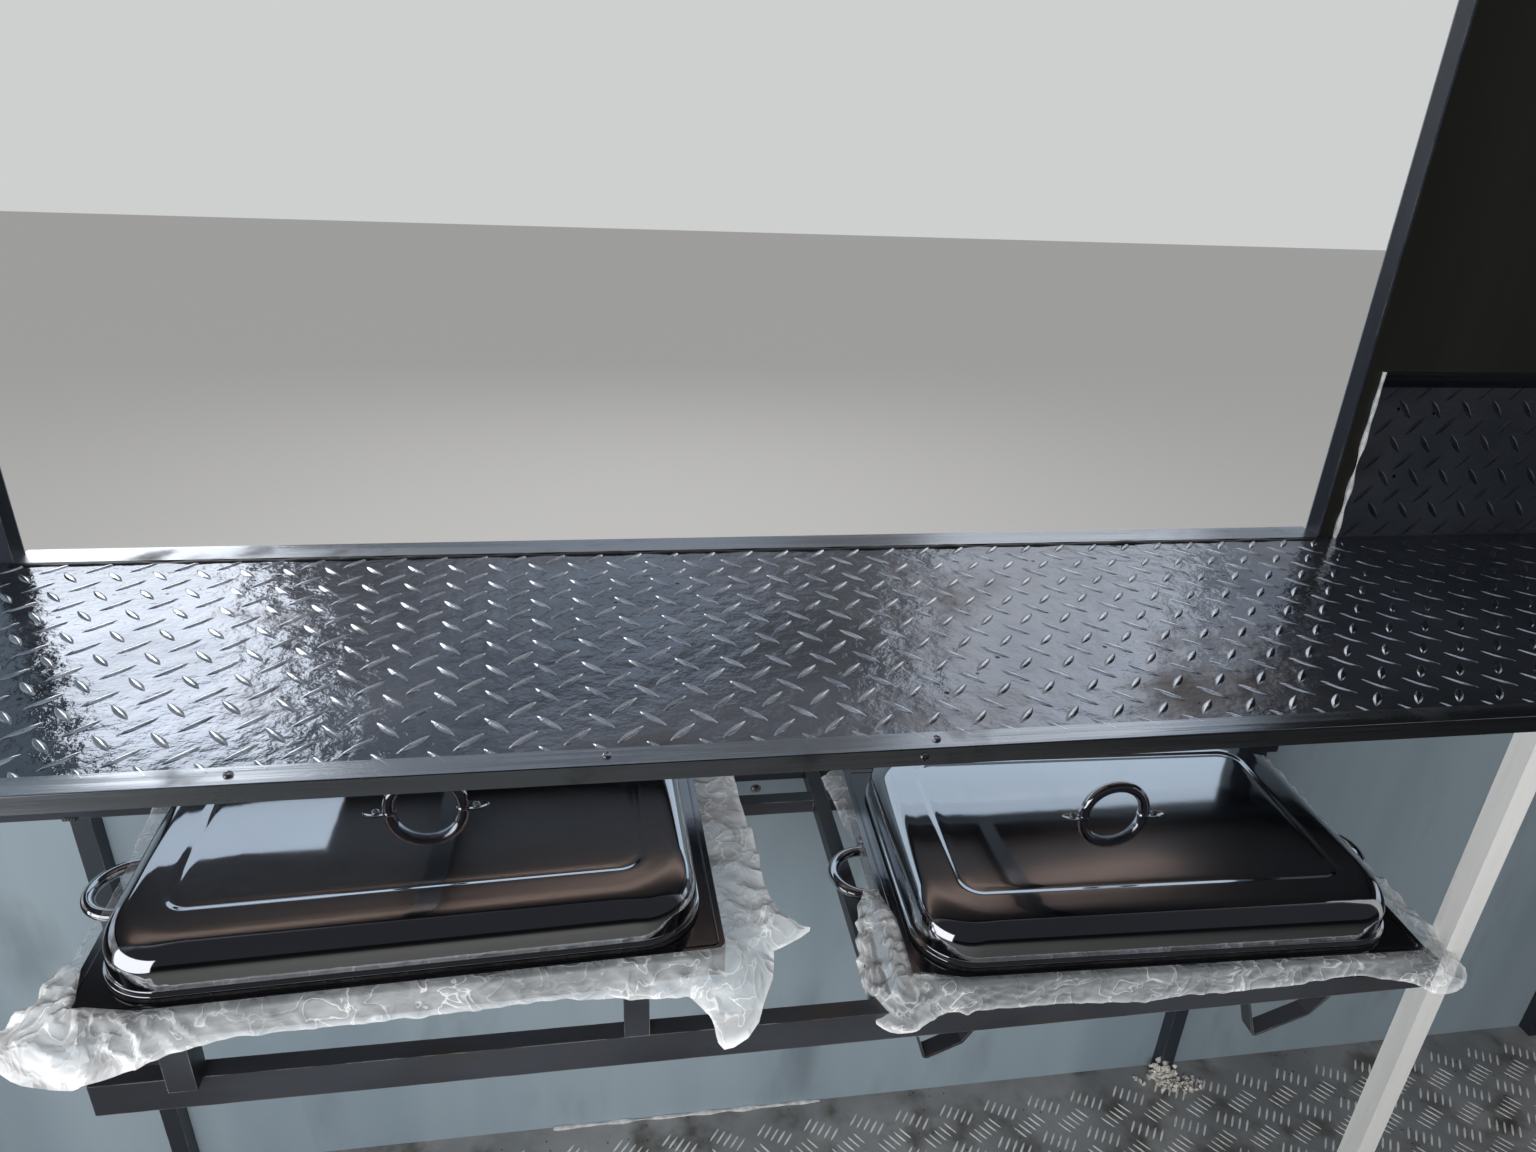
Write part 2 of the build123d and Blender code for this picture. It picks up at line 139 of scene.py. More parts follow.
def copies(points, faces, places, turns):
    """The same small mesh at many places, each turned about Z: point = R(turn) point + place."""
    cos, sin = np.cos(turns)[:, None], np.sin(turns)[:, None]
    x = cos * points[:, 0] - sin * points[:, 1]
    y = sin * points[:, 0] + cos * points[:, 1]
    spread = xyz(x, y, points[:, 2]) + places[:, None, :]
    shift = np.arange(len(places))[:, None, None] * len(points)
    return spread.reshape(-1, 3), (faces[None] + shift).reshape(-1, faces.shape[1])


def join(*parts):
    """Several (points, faces) meshes as one."""
    points, faces, count = [], [], 0
    for part_points, part_faces in parts:
        points.append(part_points.reshape(-1, 3))
        faces.append(part_faces + count)
        count += len(points[-1])
    return np.concatenate(points), np.concatenate(faces)


def piece(name, mesh, finish, body="root", sharp=35, closed=True, marks=None):
    """Object made of a (points, faces) mesh, with its doubles merged, that rides on a body.

    Marks are numbers per point, by attribute name, for the material to read.
    """
    points, faces = mesh
    data = bpy.data.meshes.new(name)
    data.from_pydata(points.reshape(-1, 3).tolist(), [], faces.tolist())
    for label, values in (marks or {}).items():
        data.attributes.new(label, "FLOAT", "POINT").data.foreach_set("value", values.ravel())
    work = bmesh.new()
    work.from_mesh(data)
    bmesh.ops.remove_doubles(work, verts=work.verts, dist=SAME_PLACE)
    bmesh.ops.dissolve_degenerate(work, edges=work.edges, dist=NO_LENGTH)
    if closed:
        bmesh.ops.recalc_face_normals(work, faces=work.faces)
    work.to_mesh(data)
    work.free()
    data.polygons.foreach_set("use_smooth", np.ones(len(data.polygons), bool))
    data.set_sharp_from_angle(angle=math.radians(sharp))
    data.materials.append(FINISHES[finish])
    thing = new_object(name, data)
    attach(thing, body)
    return thing


def tube(path, radius, sides, lean):
    """Round bar: point = path + radius (cos a N + sin a B), with N = T x lean and B = T x N.

    Both ends close on the path's own end points.
    """
    path = np.asarray(path, float)
    tangent = np.gradient(path, axis=0)
    tangent /= np.linalg.norm(tangent, axis=1, keepdims=True)
    across = np.cross(tangent, np.asarray(lean, float))
    across /= np.linalg.norm(across, axis=1, keepdims=True)
    second = np.cross(tangent, across)
    angle = circle(sides)
    ring = np.cos(angle)[None, :, None] * across[:, None] + np.sin(angle)[None, :, None] * second[:, None]
    body = path[:, None] + np.broadcast_to(radius, len(path))[:, None, None] * ring
    first = np.broadcast_to(path[0], (1, sides, 3))
    last = np.broadcast_to(path[-1], (1, sides, 3))
    points = np.concatenate((first, body, last))
    return points, grid_faces(len(points), sides, wrap=True)


def smooth_line(knots, steps):
    """Catmull-Rom curve through the knots: each span is the cubic of its two knots and their neighbours."""
    knots = np.asarray(knots, float)
    ends = np.concatenate((2 * knots[:1] - knots[1:2], knots, 2 * knots[-1:] - knots[-2:-1]))
    t = np.linspace(0, 1, steps, endpoint=False)[None, :, None]
    a, b, c, d = (ends[k : len(ends) - 3 + k][:, None] for k in range(4))
    curve = 0.5 * (2 * b + (c - a) * t + (2 * a - 5 * b + 4 * c - d) * t**2 + (3 * b - a - 3 * c + d) * t**3)
    return np.concatenate((curve.reshape(-1, knots.shape[1]), knots[-1:]))


def rounded_rings(half_x, half_y, corner, height, per_corner):
    """Rings of rounded rectangles: ring = corner middle + corner (cos a, sin a), one ring per row."""
    half_x, half_y, corner, height = (np.atleast_1d(v)[:, None] for v in (half_x, half_y, corner, height))
    quarter = np.linspace(0, math.pi / 2, per_corner)
    angle = np.concatenate([quarter + k * math.pi / 2 for k in range(4)])
    side_x = np.repeat((1, -1, -1, 1), per_corner)
    side_y = np.repeat((1, 1, -1, -1), per_corner)
    x = side_x * (half_x - corner) + corner * np.cos(angle)
    y = side_y * (half_y - corner) + corner * np.sin(angle)
    points = xyz(x, y, height)
    return points, grid_faces(len(points), points.shape[1], wrap=True)


def turned(profile, sides):
    """Turned form: point = (r cos a, r sin a, z) for each (r, z) of the profile."""
    radius, height = np.hsplit(np.asarray(profile, float), 2)
    angle = circle(sides)
    points = xyz(radius * np.cos(angle), radius * np.sin(angle), height)
    return points, grid_faces(len(points), sides, wrap=True)


def set_on(mesh, origin, along, out):
    """Moves a local mesh: x goes along, z goes out, y is out x along, and the origin is added."""
    points, faces = mesh
    along, out = np.asarray(along, float), np.asarray(out, float)
    basis = np.stack((along, np.cross(out, along), out))
    return points.reshape(-1, 3) @ basis + np.asarray(origin, float), faces


def triangle(p):
    """Triangle wave from -1 to 1: 1 - 4 |frac(p) - 1/2|."""
    return 1 - 4 * np.abs(p - np.floor(p) - 0.5)


def creases(u, v, size, waves, seed):
    """Crumple field, about -1 to 1: triangle waves in all directions, added up, over their number^0.5.

    Each wave's p is the distance along its own direction, bowed by a slow sine, over its length,
    which is size times 0.6 to 1.9.
    """
    draw = np.random.default_rng(seed)
    total = np.zeros(np.broadcast(u, v).shape)
    for _ in range(waves):
        way, phase, length = draw.uniform(0, math.pi), draw.uniform(0, 1), size * draw.uniform(0.6, 1.9)
        bow = 0.25 * size * np.sin((u * math.sin(way) - v * math.cos(way)) / (1.7 * size) + 9 * phase)
        total += triangle((u * math.cos(way) + v * math.sin(way) + bow) / length + phase)
    return total / math.sqrt(waves)


# Shader tools
FLOAT, VECTOR = "NodeSocketFloat", "NodeSocketVector"
EVEN = (1, 1, 1)
ALONG_X = (0.04, 1, 1)
UPRIGHT = (1, 1, 0.12)


def feed(tree, node, inputs):
    """Fills a node's inputs, each by a link from a socket or with a plain value."""
    for key, value in inputs.items():
        if isinstance(value, bpy.types.NodeSocket):
            tree.links.new(value, node.inputs[key])
        else:
            node.inputs[key].default_value = value


def put(tree, kind, inputs=None, **settings):
    """Adds a node with its inputs filled."""
    node = tree.nodes.new(kind)
    for key, value in settings.items():
        setattr(node, key, value)
    feed(tree, node, inputs or {})
    return node


def worked(tree, operation, *values):
    """Result of a sum, product or the like on one or two sockets or numbers."""
    return put(tree, "ShaderNodeMath", dict(enumerate(values)), operation=operation).outputs[0]


def ranged(tree, value, low=0.0, high=1.0, start=0.0, stop=1.0, ease="LINEAR"):
    """Number that goes from low to high as the value goes from start to stop, and no further."""
    limits = {0: value, 1: start, 2: stop, 3: low, 4: high}
    return put(tree, "ShaderNodeMapRange", limits, interpolation_type=ease).outputs[0]


def object_place(tree):
    """Object coordinates."""
    return put(tree, "ShaderNodeTexCoord").outputs["Object"]


def noise(tree, where, scale, detail, distortion=0.0):
    """Cloudy noise from 0 to 1."""
    inputs = {"Vector": where, "Scale": scale, "Detail": detail, "Distortion": distortion}
    return put(tree, "ShaderNodeTexNoise", inputs).outputs[0]


def blend(tree, mask, low, high):
    """Colour mix by a mask; low and high are colours or sockets."""
    return put(tree, "ShaderNodeMix", {0: mask, 6: low, 7: high}, data_type="RGBA").outputs[2]


def mask_group(name, inputs):
    """Node group with named inputs and one output, Mask; returns the tree, its inputs and its mask socket."""
    tree = bpy.data.node_groups.new(name, "ShaderNodeTree")
    for label, kind, value in inputs:
        socket = tree.interface.new_socket(name=label, in_out="INPUT", socket_type=kind)
        socket.default_value = value
    tree.interface.new_socket(name="Mask", in_out="OUTPUT", socket_type=FLOAT)
    given = tree.nodes.new("NodeGroupInput").outputs
    return tree, given, tree.nodes.new("NodeGroupOutput").inputs["Mask"]


def use(tree, group, **inputs):
    """Places a node group in a material with its own values, named by keyword, and returns its mask."""
    named = {key.capitalize(): value for key, value in inputs.items()}
    return put(tree, "ShaderNodeGroup", named, node_tree=group).outputs[0]


def mottle_group():
    """Cloudy variation: noise on stretched object coordinates, eased from a low to a high level."""
    tree, given, mask = mask_group(
        "Mottle",
        (("Scale", FLOAT, 8.0), ("Stretch", VECTOR, EVEN), ("Low", FLOAT, 0.35), ("High", FLOAT, 0.65)),
    )
    stretched = {"Vector": object_place(tree), "Scale": given["Stretch"]}
    where = put(tree, "ShaderNodeMapping", stretched).outputs[0]
    cloud = noise(tree, where, given["Scale"], detail=6.0)
    tree.links.new(ranged(tree, cloud, start=given["Low"], stop=given["High"], ease="SMOOTHSTEP"), mask)
    return tree


def wear_group():
    """Rubbed edges: where a rounded normal leaves the true one, broken up by noise."""
    tree, given, mask = mask_group(
        "Edge wear", (("Width", FLOAT, 0.0015), ("Scale", FLOAT, 30.0), ("Amount", FLOAT, 1.0))
    )
    soft = put(tree, "ShaderNodeBevel", {"Radius": given["Width"]}, samples=4).outputs[0]
    true = put(tree, "ShaderNodeNewGeometry").outputs["True Normal"]
    same = put(tree, "ShaderNodeVectorMath", {0: soft, 1: true}, operation="DOT_PRODUCT").outputs["Value"]
    edge = ranged(tree, same, start=0.995, stop=0.85)
    cloud = noise(tree, object_place(tree), given["Scale"], detail=5.0)
    patchy = worked(tree, "MULTIPLY", edge, ranged(tree, cloud, start=0.42, stop=0.62))
    tree.links.new(worked(tree, "MULTIPLY", patchy, given["Amount"]), mask)
    return tree


def speck_group():
    """Specks: cells whose distance to their middle is under a size, kept where a noise is high."""
    tree, given, mask = mask_group(
        "Specks", (("Scale", FLOAT, 60.0), ("Size", FLOAT, 0.12), ("Spread", FLOAT, 0.55))
    )
    where = object_place(tree)
    cells = put(tree, "ShaderNodeTexVoronoi", {"Vector": where, "Scale": given["Scale"]})
    dot = worked(tree, "LESS_THAN", cells.outputs["Distance"], given["Size"])
    some = worked(tree, "GREATER_THAN", noise(tree, where, 7.0, detail=3.0), given["Spread"])
    tree.links.new(worked(tree, "MULTIPLY", dot, some), mask)
    return tree


MOTTLE = mottle_group()
WEAR = wear_group()
SPECKS = speck_group()


# Kinds of finish. Colours are sRGB from 0 to 255. Rough is the roughness of the dark tone and of the
# light one. Grime is its colour, scale and stretch; dirt its colour, scale, low and high level; specks
# their colour, scale, size and spread; and ripple its scale and strength.
COAT_SCALE = 220.0
COAT_BUMP = 0.12
COAT_DEPTH = 0.6 * MM
SKIN_DEPTH = 1 * MM
WEAR_WIDTH = 0.0016
WEAR_SCALE = 26.0
DIRT_ROUGHNESS = 0.3
PLATE_METALLIC = 0.9
UNDER_METALLIC = 0.1
UNDER_ROUGHNESS = 0.4
WRINKLE_SCALE = 34.0
WRINKLE_LINE = 0.02
WRINKLE_CREST = 0.16
WRINKLE_BUMP = 0.5
WRINKLE_DEPTH = 3 * MM
FILM_ROUGHNESS = 0.14
FILM_INDEX = 1.5
FINISHES = {}


def tone(colour):
    """Linear colour for an sRGB one."""
    value = np.array(colour) / 255
    linear = np.where(value <= 0.04045, value / 12.92, ((value + 0.055) / 1.055) ** 2.4)
    return (*linear.tolist(), 1.0)


def new_finish(name):
    """Plain material, kept in FINISHES by its name; returns its tree and its shader."""
    material = bpy.data.materials.new(name)
    material.use_nodes = True
    FINISHES[name] = material
    return material.node_tree, material.node_tree.nodes["Principled BSDF"]


def bumped(tree, shader, height, strength, distance):
    """Feeds a height into the shader's normal."""
    bump = put(tree, "ShaderNodeBump", {"Strength": strength, "Distance": distance, "Height": height})
    feed(tree, shader, {"Normal": bump.outputs[0]})


def speckled(tree, colour, specks):
    """Colour with specks on it."""
    speck, scale, size, spread = specks
    return blend(tree, use(tree, SPECKS, scale=scale, size=size, spread=spread), colour, tone(speck))


def paint(name, dark, light, worn, scale, stretch, rough, wear, grime=None):
    """Painted steel: cloudy between two tones, with rubbed edges and a faint uneven coat."""
    tree, shader = new_finish(name)
    cloud = use(tree, MOTTLE, scale=scale, stretch=stretch)
    rubbed = use(tree, WEAR, width=WEAR_WIDTH, scale=WEAR_SCALE, amount=wear)
    colour = blend(tree, cloud, tone(dark), tone(light))
    if grime:
        stain, stain_scale, stain_stretch = grime
        dirty = use(tree, MOTTLE, scale=stain_scale, stretch=stain_stretch, low=0.52, high=0.8)
        colour = blend(tree, dirty, colour, tone(stain))
    colour = blend(tree, rubbed, colour, tone(worn))
    feed(tree, shader, {"Base Color": colour, "Roughness": ranged(tree, cloud, *rough)})
    coat = use(tree, MOTTLE, scale=COAT_SCALE, stretch=EVEN, low=0.3, high=0.7)
    bumped(tree, shader, coat, COAT_BUMP, COAT_DEPTH)


def metal(name, dark, light, scale, rough, ripple, stretch=EVEN, dirt=None, specks=None, metallic=1.0):
    """Bare metal: cloudy tone and gloss, a slow ripple in its surface, and dirt where it is given."""
    tree, shader = new_finish(name)
    cloud = use(tree, MOTTLE, scale=scale, stretch=stretch)
    colour = blend(tree, cloud, tone(dark), tone(light))
    roughness = ranged(tree, cloud, *rough)
    if dirt:
        stain, stain_scale, low, high = dirt
        dirty = use(tree, MOTTLE, scale=stain_scale, stretch=EVEN, low=low, high=high)
        colour = blend(tree, dirty, colour, tone(stain))
        roughness = worked(tree, "ADD", roughness, ranged(tree, dirty, 0.0, DIRT_ROUGHNESS))
    if specks:
        colour = speckled(tree, colour, specks)
    feed(tree, shader, {"Base Color": colour, "Roughness": roughness, "Metallic": metallic})
    ripple_scale, strength = ripple
    wave = use(tree, MOTTLE, scale=ripple_scale, stretch=stretch, low=0.2, high=0.8)
    bumped(tree, shader, wave, strength, SKIN_DEPTH)


def plain(name, dark, light, scale, rough, bump, specks=None):
    """Matt stuff such as rubber, sealant, filler or a black strip of painted shade: cloudy tone and a rough
    skin, all of one roughness.
    """
    tree, shader = new_finish(name)
    cloud = use(tree, MOTTLE, scale=scale, stretch=EVEN)
    colour = blend(tree, cloud, tone(dark), tone(light))
    if specks:
        colour = speckled(tree, colour, specks)
    feed(tree, shader, {"Base Color": colour, "Roughness": rough})
    bumped(tree, shader, cloud, bump, SKIN_DEPTH)


def plate(name, under, **settings):
    """Rolled plate whose underside, below the middle of the sheet, is dull and dark: partly its own stained
    tone, partly painted shade for the dim space under the counter.
    """
    metal(name, **settings)
    tree = FINISHES[name].node_tree
    shader = tree.nodes["Principled BSDF"]
    height = put(tree, "ShaderNodeSeparateXYZ", {0: object_place(tree)}).outputs["Z"]
    below = worked(tree, "LESS_THAN", height, (plate_low.z + plate_high.z) / 2)
    colour, rough = (shader.inputs[key].links[0].from_socket for key in ("Base Color", "Roughness"))
    # The underside's tone is partly its own stain and partly painted shade
    colour = blend(tree, below, colour, tone(under))
    rough = worked(tree, "ADD", rough, ranged(tree, below, 0.0, UNDER_ROUGHNESS))
    metallic = ranged(tree, below, PLATE_METALLIC, UNDER_METALLIC)
    feed(tree, shader, {"Base Color": colour, "Roughness": rough, "Metallic": metallic})


def clear_film(name, clear, milky, thin, thick):
    """Thin clear film: nearly clear face on, milky edge on and by the mark "milk", and whitened along its
    wrinkles as a painted highlight on the creases.

    The wrinkles run where a warped noise n crosses a half: crest = 1 - |n - 1/2| / width. Thin and
    thick are the alpha of the clear and of the milky film.
    """
    tree, shader = new_finish(name)
    cloud = noise(tree, object_place(tree), WRINKLE_SCALE, detail=2.5, distortion=0.7)
    level = worked(tree, "ABSOLUTE", worked(tree, "SUBTRACT", cloud, 0.5))
    line = ranged(tree, level, 1.0, 0.0, stop=WRINKLE_LINE)
    crest = ranged(tree, level, 1.0, 0.0, stop=WRINKLE_CREST)
    slow = use(tree, MOTTLE, scale=16.0, stretch=EVEN, low=0.35, high=0.7)
    edge_on = put(tree, "ShaderNodeLayerWeight", {"Blend": 0.4}).outputs["Facing"]
    # Whiter lines along the wrinkles: a painted highlight on the creases
    crease_highlight = worked(tree, "MULTIPLY", line, ranged(tree, slow, 0.12, 0.6))
    milk = put(tree, "ShaderNodeAttribute", attribute_name="milk").outputs["Fac"]
    cover = edge_on
    for share in (crease_highlight, ranged(tree, slow, -0.05, 0.12), milk):
        cover = worked(tree, "ADD", cover, share)
    cover = put(tree, "ShaderNodeClamp", {0: cover}).outputs[0]
    colour = blend(tree, cover, tone(clear), tone(milky))
    alpha = ranged(tree, cover, thin, thick)
    feed(tree, shader, {"Base Color": colour, "Alpha": alpha, "Roughness": FILM_ROUGHNESS, "IOR": FILM_INDEX})
    bumped(tree, shader, crest, WRINKLE_BUMP, WRINKLE_DEPTH)


# Finishes
paint(
    "frame_paint", (34, 38, 46), (48, 53, 62), worn=(118, 118, 117),
    scale=9.0, stretch=UPRIGHT, rough=(0.34, 0.5), wear=0.9,
)
paint(
    "rack_steel", (40, 42, 47), (56, 59, 65), worn=(140, 138, 136),
    scale=7.0, stretch=(0.5, 1, 1), rough=(0.3, 0.46), wear=0.9, grime=((58, 53, 50), 22.0, EVEN),
)
paint(
    "wall_paint", (128, 143, 153), (146, 160, 169), worn=(112, 119, 123),
    scale=3.0, stretch=UPRIGHT, rough=(0.32, 0.5), wear=0.3, grime=((112, 124, 132), 9.0, (1, 1, 0.3)),
)
# Near-black tone of the upper sheet above the splashback
paint(
    "lining_paint", (28, 28, 25), (42, 42, 38), worn=(74, 74, 72),
    scale=2.5, stretch=UPRIGHT, rough=(0.4, 0.55), wear=0.4,
)
metal(
    "tread_plate", (140, 141, 141), (170, 170, 169), scale=6.0, rough=(0.38, 0.52), ripple=(40.0, 0.25),
    dirt=((96, 90, 84), 14.0, 0.46, 0.76), specks=((56, 52, 48), 70.0, 0.1, 0.52), metallic=0.45,
)
# Lighter and less metallic than the tread plate they are rolled from: a painted highlight on the raised bars
metal(
    "tread_bars_painted_highlight", (214, 214, 212), (240, 240, 238), scale=20.0, rough=(0.24, 0.38), ripple=(90.0, 0.2),
    metallic=0.25,
)
# The plate's dark and light tones are far darker than bare aluminium: a painted reflection of the dim
# surroundings it mirrors
plate(
    "chequer_plate", under=(86, 82, 83), dark=(112, 119, 130), light=(138, 145, 157),
    scale=5.0, rough=(0.06, 0.15), ripple=(44.0, 0.9),
    dirt=((96, 88, 84), 5.0, 0.5, 0.8), specks=((34, 32, 32), 34.0, 0.09, 0.56),
)
# Lighter than the plate they are rolled from: a painted highlight on the raised lozenges
metal(
    "chequer_bars_painted_highlight", (164, 170, 179), (204, 208, 215), scale=30.0, rough=(0.12, 0.22), ripple=(120.0, 0.2)
)
metal(
    "trim_alloy", (158, 166, 176), (182, 188, 196), scale=26.0, stretch=ALONG_X, rough=(0.2, 0.34),
    ripple=(160.0, 0.2), dirt=((92, 90, 88), 12.0, 0.56, 0.84),
)
metal(
    "post_steel", (228, 228, 226), (240, 240, 238), scale=14.0, stretch=UPRIGHT, rough=(0.3, 0.44),
    ripple=(120.0, 0.2), dirt=((150, 148, 144), 18.0, 0.62, 0.88), metallic=0.2,
)
metal(
    "mirror_steel", (198, 201, 207), (210, 213, 218), scale=3.0, rough=(0.04, 0.085), ripple=(7.0, 0.08)
)
metal(
    "pan_steel", (122, 124, 129), (140, 142, 147), scale=5.0, rough=(0.1, 0.17), ripple=(30.0, 0.1)
)
metal(
    "weld_steel", (120, 116, 114), (176, 174, 172), scale=90.0, rough=(0.28, 0.45), ripple=(200.0, 0.3)
)
metal(
    "screw_steel", (150, 152, 156), (200, 202, 206), scale=60.0, rough=(0.22, 0.36), ripple=(150.0, 0.1)
)
# Near-black tone with pale specks for the band between each rim and its lid
plain(
    "seal_rubber", (16, 16, 17), (30, 30, 31), scale=90.0, rough=0.7, bump=0.5,
    specks=((96, 94, 90), 420.0, 0.16, 0.45),
)
# Near-black strip that stands for the shade in the gap under the sill strip: painted shade
plain("painted_shade_black", (14, 15, 17), (26, 27, 30), scale=60.0, rough=0.45, bump=0.5)
plain("pale_sealant", (168, 172, 174), (206, 208, 208), scale=70.0, rough=0.5, bump=0.6)
plain(
    "filler", (178, 174, 166), (224, 221, 214), scale=120.0, rough=0.8, bump=0.8,
    specks=((96, 84, 72), 160.0, 0.2, 0.5),
)
clear_film("film", clear=(196, 202, 206), milky=(250, 251, 252), thin=0.2, thick=0.9)

for row in frame["record"]["subparts"]:
    carried = nodes[row["node"]]
    if not carried.material_slots:
        carried.data.materials.append(None)
    for holder in carried.material_slots:
        holder.material = FINISHES[row["material_slot"]]
for post in ("front_post_left", "front_post_right"):
    nodes[post].material_slots[0].material = FINISHES["post_steel"]
for pan in ("water_pan_left", "water_pan_right"):
    nodes[pan].material_slots[0].material = FINISHES["pan_steel"]


# Lozenges of the chequer plate, on the counter and on the splashback
LOZENGE_LENGTH = 37 * MM
LOZENGE_WIDTH = 8.5 * MM
LOZENGE_HEIGHT = 1.8 * MM
LOZENGE_PITCH = 46.2 * MM
LOZENGE_ROW = 48 * MM
LOZENGE_TURN = math.radians(48)
LOZENGE_LEAN = 0.085  # how far the lattice drifts back along X, for each metre across
COUNTER_LATTICE = (DATUM_X + 0.427, 0.211)
END_ROOM = LOZENGE_LENGTH / 2
FRONT_ROOM = 6 * MM  # lozenges go on this far under the angle
BACK_ROOM = 14 * MM
SPLASH_ROOM = 12 * MM
SUNK = 0.2 * MM  # how far a bar's foot lies below its sheet
BAR_SHARP = 50


def raised_bar(length, width, height, power, stations=9):
    """Raised bar: half width = (1 - t^2)^power w, height = h (1 - s^2)(1 - t^4) over (t, s) in -1..1.

    A last column runs below the surface and closes the form.
    """
    t = np.linspace(-1, 1, stations)[:, None]
    s = np.array((-1, -0.55, 0, 0.55, 1, 0))[None]
    below = np.array((0, 0, 0, 0, 0, 1))[None]
    y = s * width / 2 * (1 - t**2) ** power
    z = height * (1 - s**2) * (1 - t**4) * (1 - below) - SUNK * (1 + below * 0.5)
    return xyz(t * length / 2, y, z).reshape(-1, 3), grid_faces(stations, s.size, wrap=True)


def lattice(x0, x1, y0, y1, pitch, row, origin, lean):
    """Places of two interleaved lattices: the second is half a pitch along and half a row across."""
    across = np.arange(math.floor((y0 - origin[1]) / row) - 1, math.ceil((y1 - origin[1]) / row) + 1)
    along = np.arange(math.floor((x0 - origin[0]) / pitch) - 2, math.ceil((x1 - origin[0]) / pitch) + 2)
    j, i = np.meshgrid(across, along, indexing="ij")
    sets = []
    for half in (0.0, 0.5):
        y = origin[1] + (j + half) * row
        x = origin[0] + (i + half) * pitch - (y - origin[1]) * lean
        inside = (x > x0) & (x < x1) & (y > y0) & (y < y1)
        sets.append(xyz(x[inside], y[inside], 0))
    return sets


def lozenge_field(x0, x1, y0, y1, origin, lean):
    """Lozenges on a flat field, the two lattices turned to opposite sides of the X axis."""
    bar = raised_bar(LOZENGE_LENGTH, LOZENGE_WIDTH, LOZENGE_HEIGHT, 1.0)
    first, second = lattice(x0, x1, y0, y1, LOZENGE_PITCH, LOZENGE_ROW, origin, lean)
    rising = copies(*bar, first, np.full(len(first), LOZENGE_TURN))
    falling = copies(*bar, second, np.full(len(second), -LOZENGE_TURN))
    return join(rising, falling)


counter_field = lozenge_field(
    plate_low.x + END_ROOM,
    plate_high.x - END_ROOM,
    angle_high.y - FRONT_ROOM,
    plate_high.y - BACK_ROOM,
    COUNTER_LATTICE,
    LOZENGE_LEAN,
)
counter_field = set_on(counter_field, (0, 0, plate_high.z), ALONG, UP)
piece("counter_lozenges", counter_field, "chequer_bars_painted_highlight", sharp=BAR_SHARP)

splash_middle = ((splash_low.x + splash_high.x) / 2, (splash_low.z + splash_high.z) / 2)
splash_field = lozenge_field(
    splash_low.x + SPLASH_ROOM,
    splash_high.x - END_ROOM,
    splash_low.z + SPLASH_ROOM,
    splash_high.z - SPLASH_ROOM,
    splash_middle,
    0.0,
)
splash_field = set_on(splash_field, (0, splash_low.y, 0), ALONG, INWARDS)
piece("splashback_lozenges", splash_field, "chequer_bars_painted_highlight", sharp=BAR_SHARP)


# Five-bar tread of the floor
BAR_LENGTH = 30 * MM
BAR_WIDTH = 4 * MM
BAR_HEIGHT = 1.1 * MM
BAR_TURN = math.radians(-52)
BAR_STEP = (10.6 * MM, 5.6 * MM)
BARS_IN_GROUP = 5
GROUP_PITCH = 80.8 * MM
GROUP_ROW = 70 * MM
GROUP_LATTICE = (DATUM_X + 1.254, 0.284)
GROUP_ROOM = 34 * MM
WALL_ROOM = 24 * MM


def tread_field():
    """Groups of five bars: those of a group step along one diagonal, those of the next along the other."""
    bar = raised_bar(BAR_LENGTH, BAR_WIDTH, BAR_HEIGHT, 0.45, stations=6)
    falling, rising = lattice(
        floor_low.x + GROUP_ROOM,
        floor_high.x - GROUP_ROOM,
        floor_low.y + GROUP_ROOM,
        floor_high.y - WALL_ROOM,
        GROUP_PITCH,
        GROUP_ROW,
        GROUP_LATTICE,
        0.0,
    )
    steps = np.arange(BARS_IN_GROUP) - (BARS_IN_GROUP - 1) / 2
    parts = []
    for places, side in ((falling, 1), (rising, -1)):
        offset = xyz(steps * BAR_STEP[0], side * steps * BAR_STEP[1], 0)
        spots = (places[:, None] + offset[None]).reshape(-1, 3)
        parts.append(copies(*bar, spots, np.full(len(spots), side * BAR_TURN)))
    return join(*parts)


floor_field = set_on(tread_field(), (0, 0, floor_high.z), ALONG, UP)
piece("floor_tread_bars", floor_field, "tread_bars_painted_highlight", sharp=BAR_SHARP)


# Chafing dishes: lid, handles, rim line and film, each built flat and then turned as its dish is
LEFT_TURN = math.radians(2.0)
RIGHT_TURN = math.radians(-2.0)
RIM_LENGTH = 582 * MM
RIM_DEPTH = 362 * MM
LID_LENGTH = 545 * MM
LID_DEPTH = 345 * MM
LID_WALL = 1.2 * MM
LID_SHARP = 60

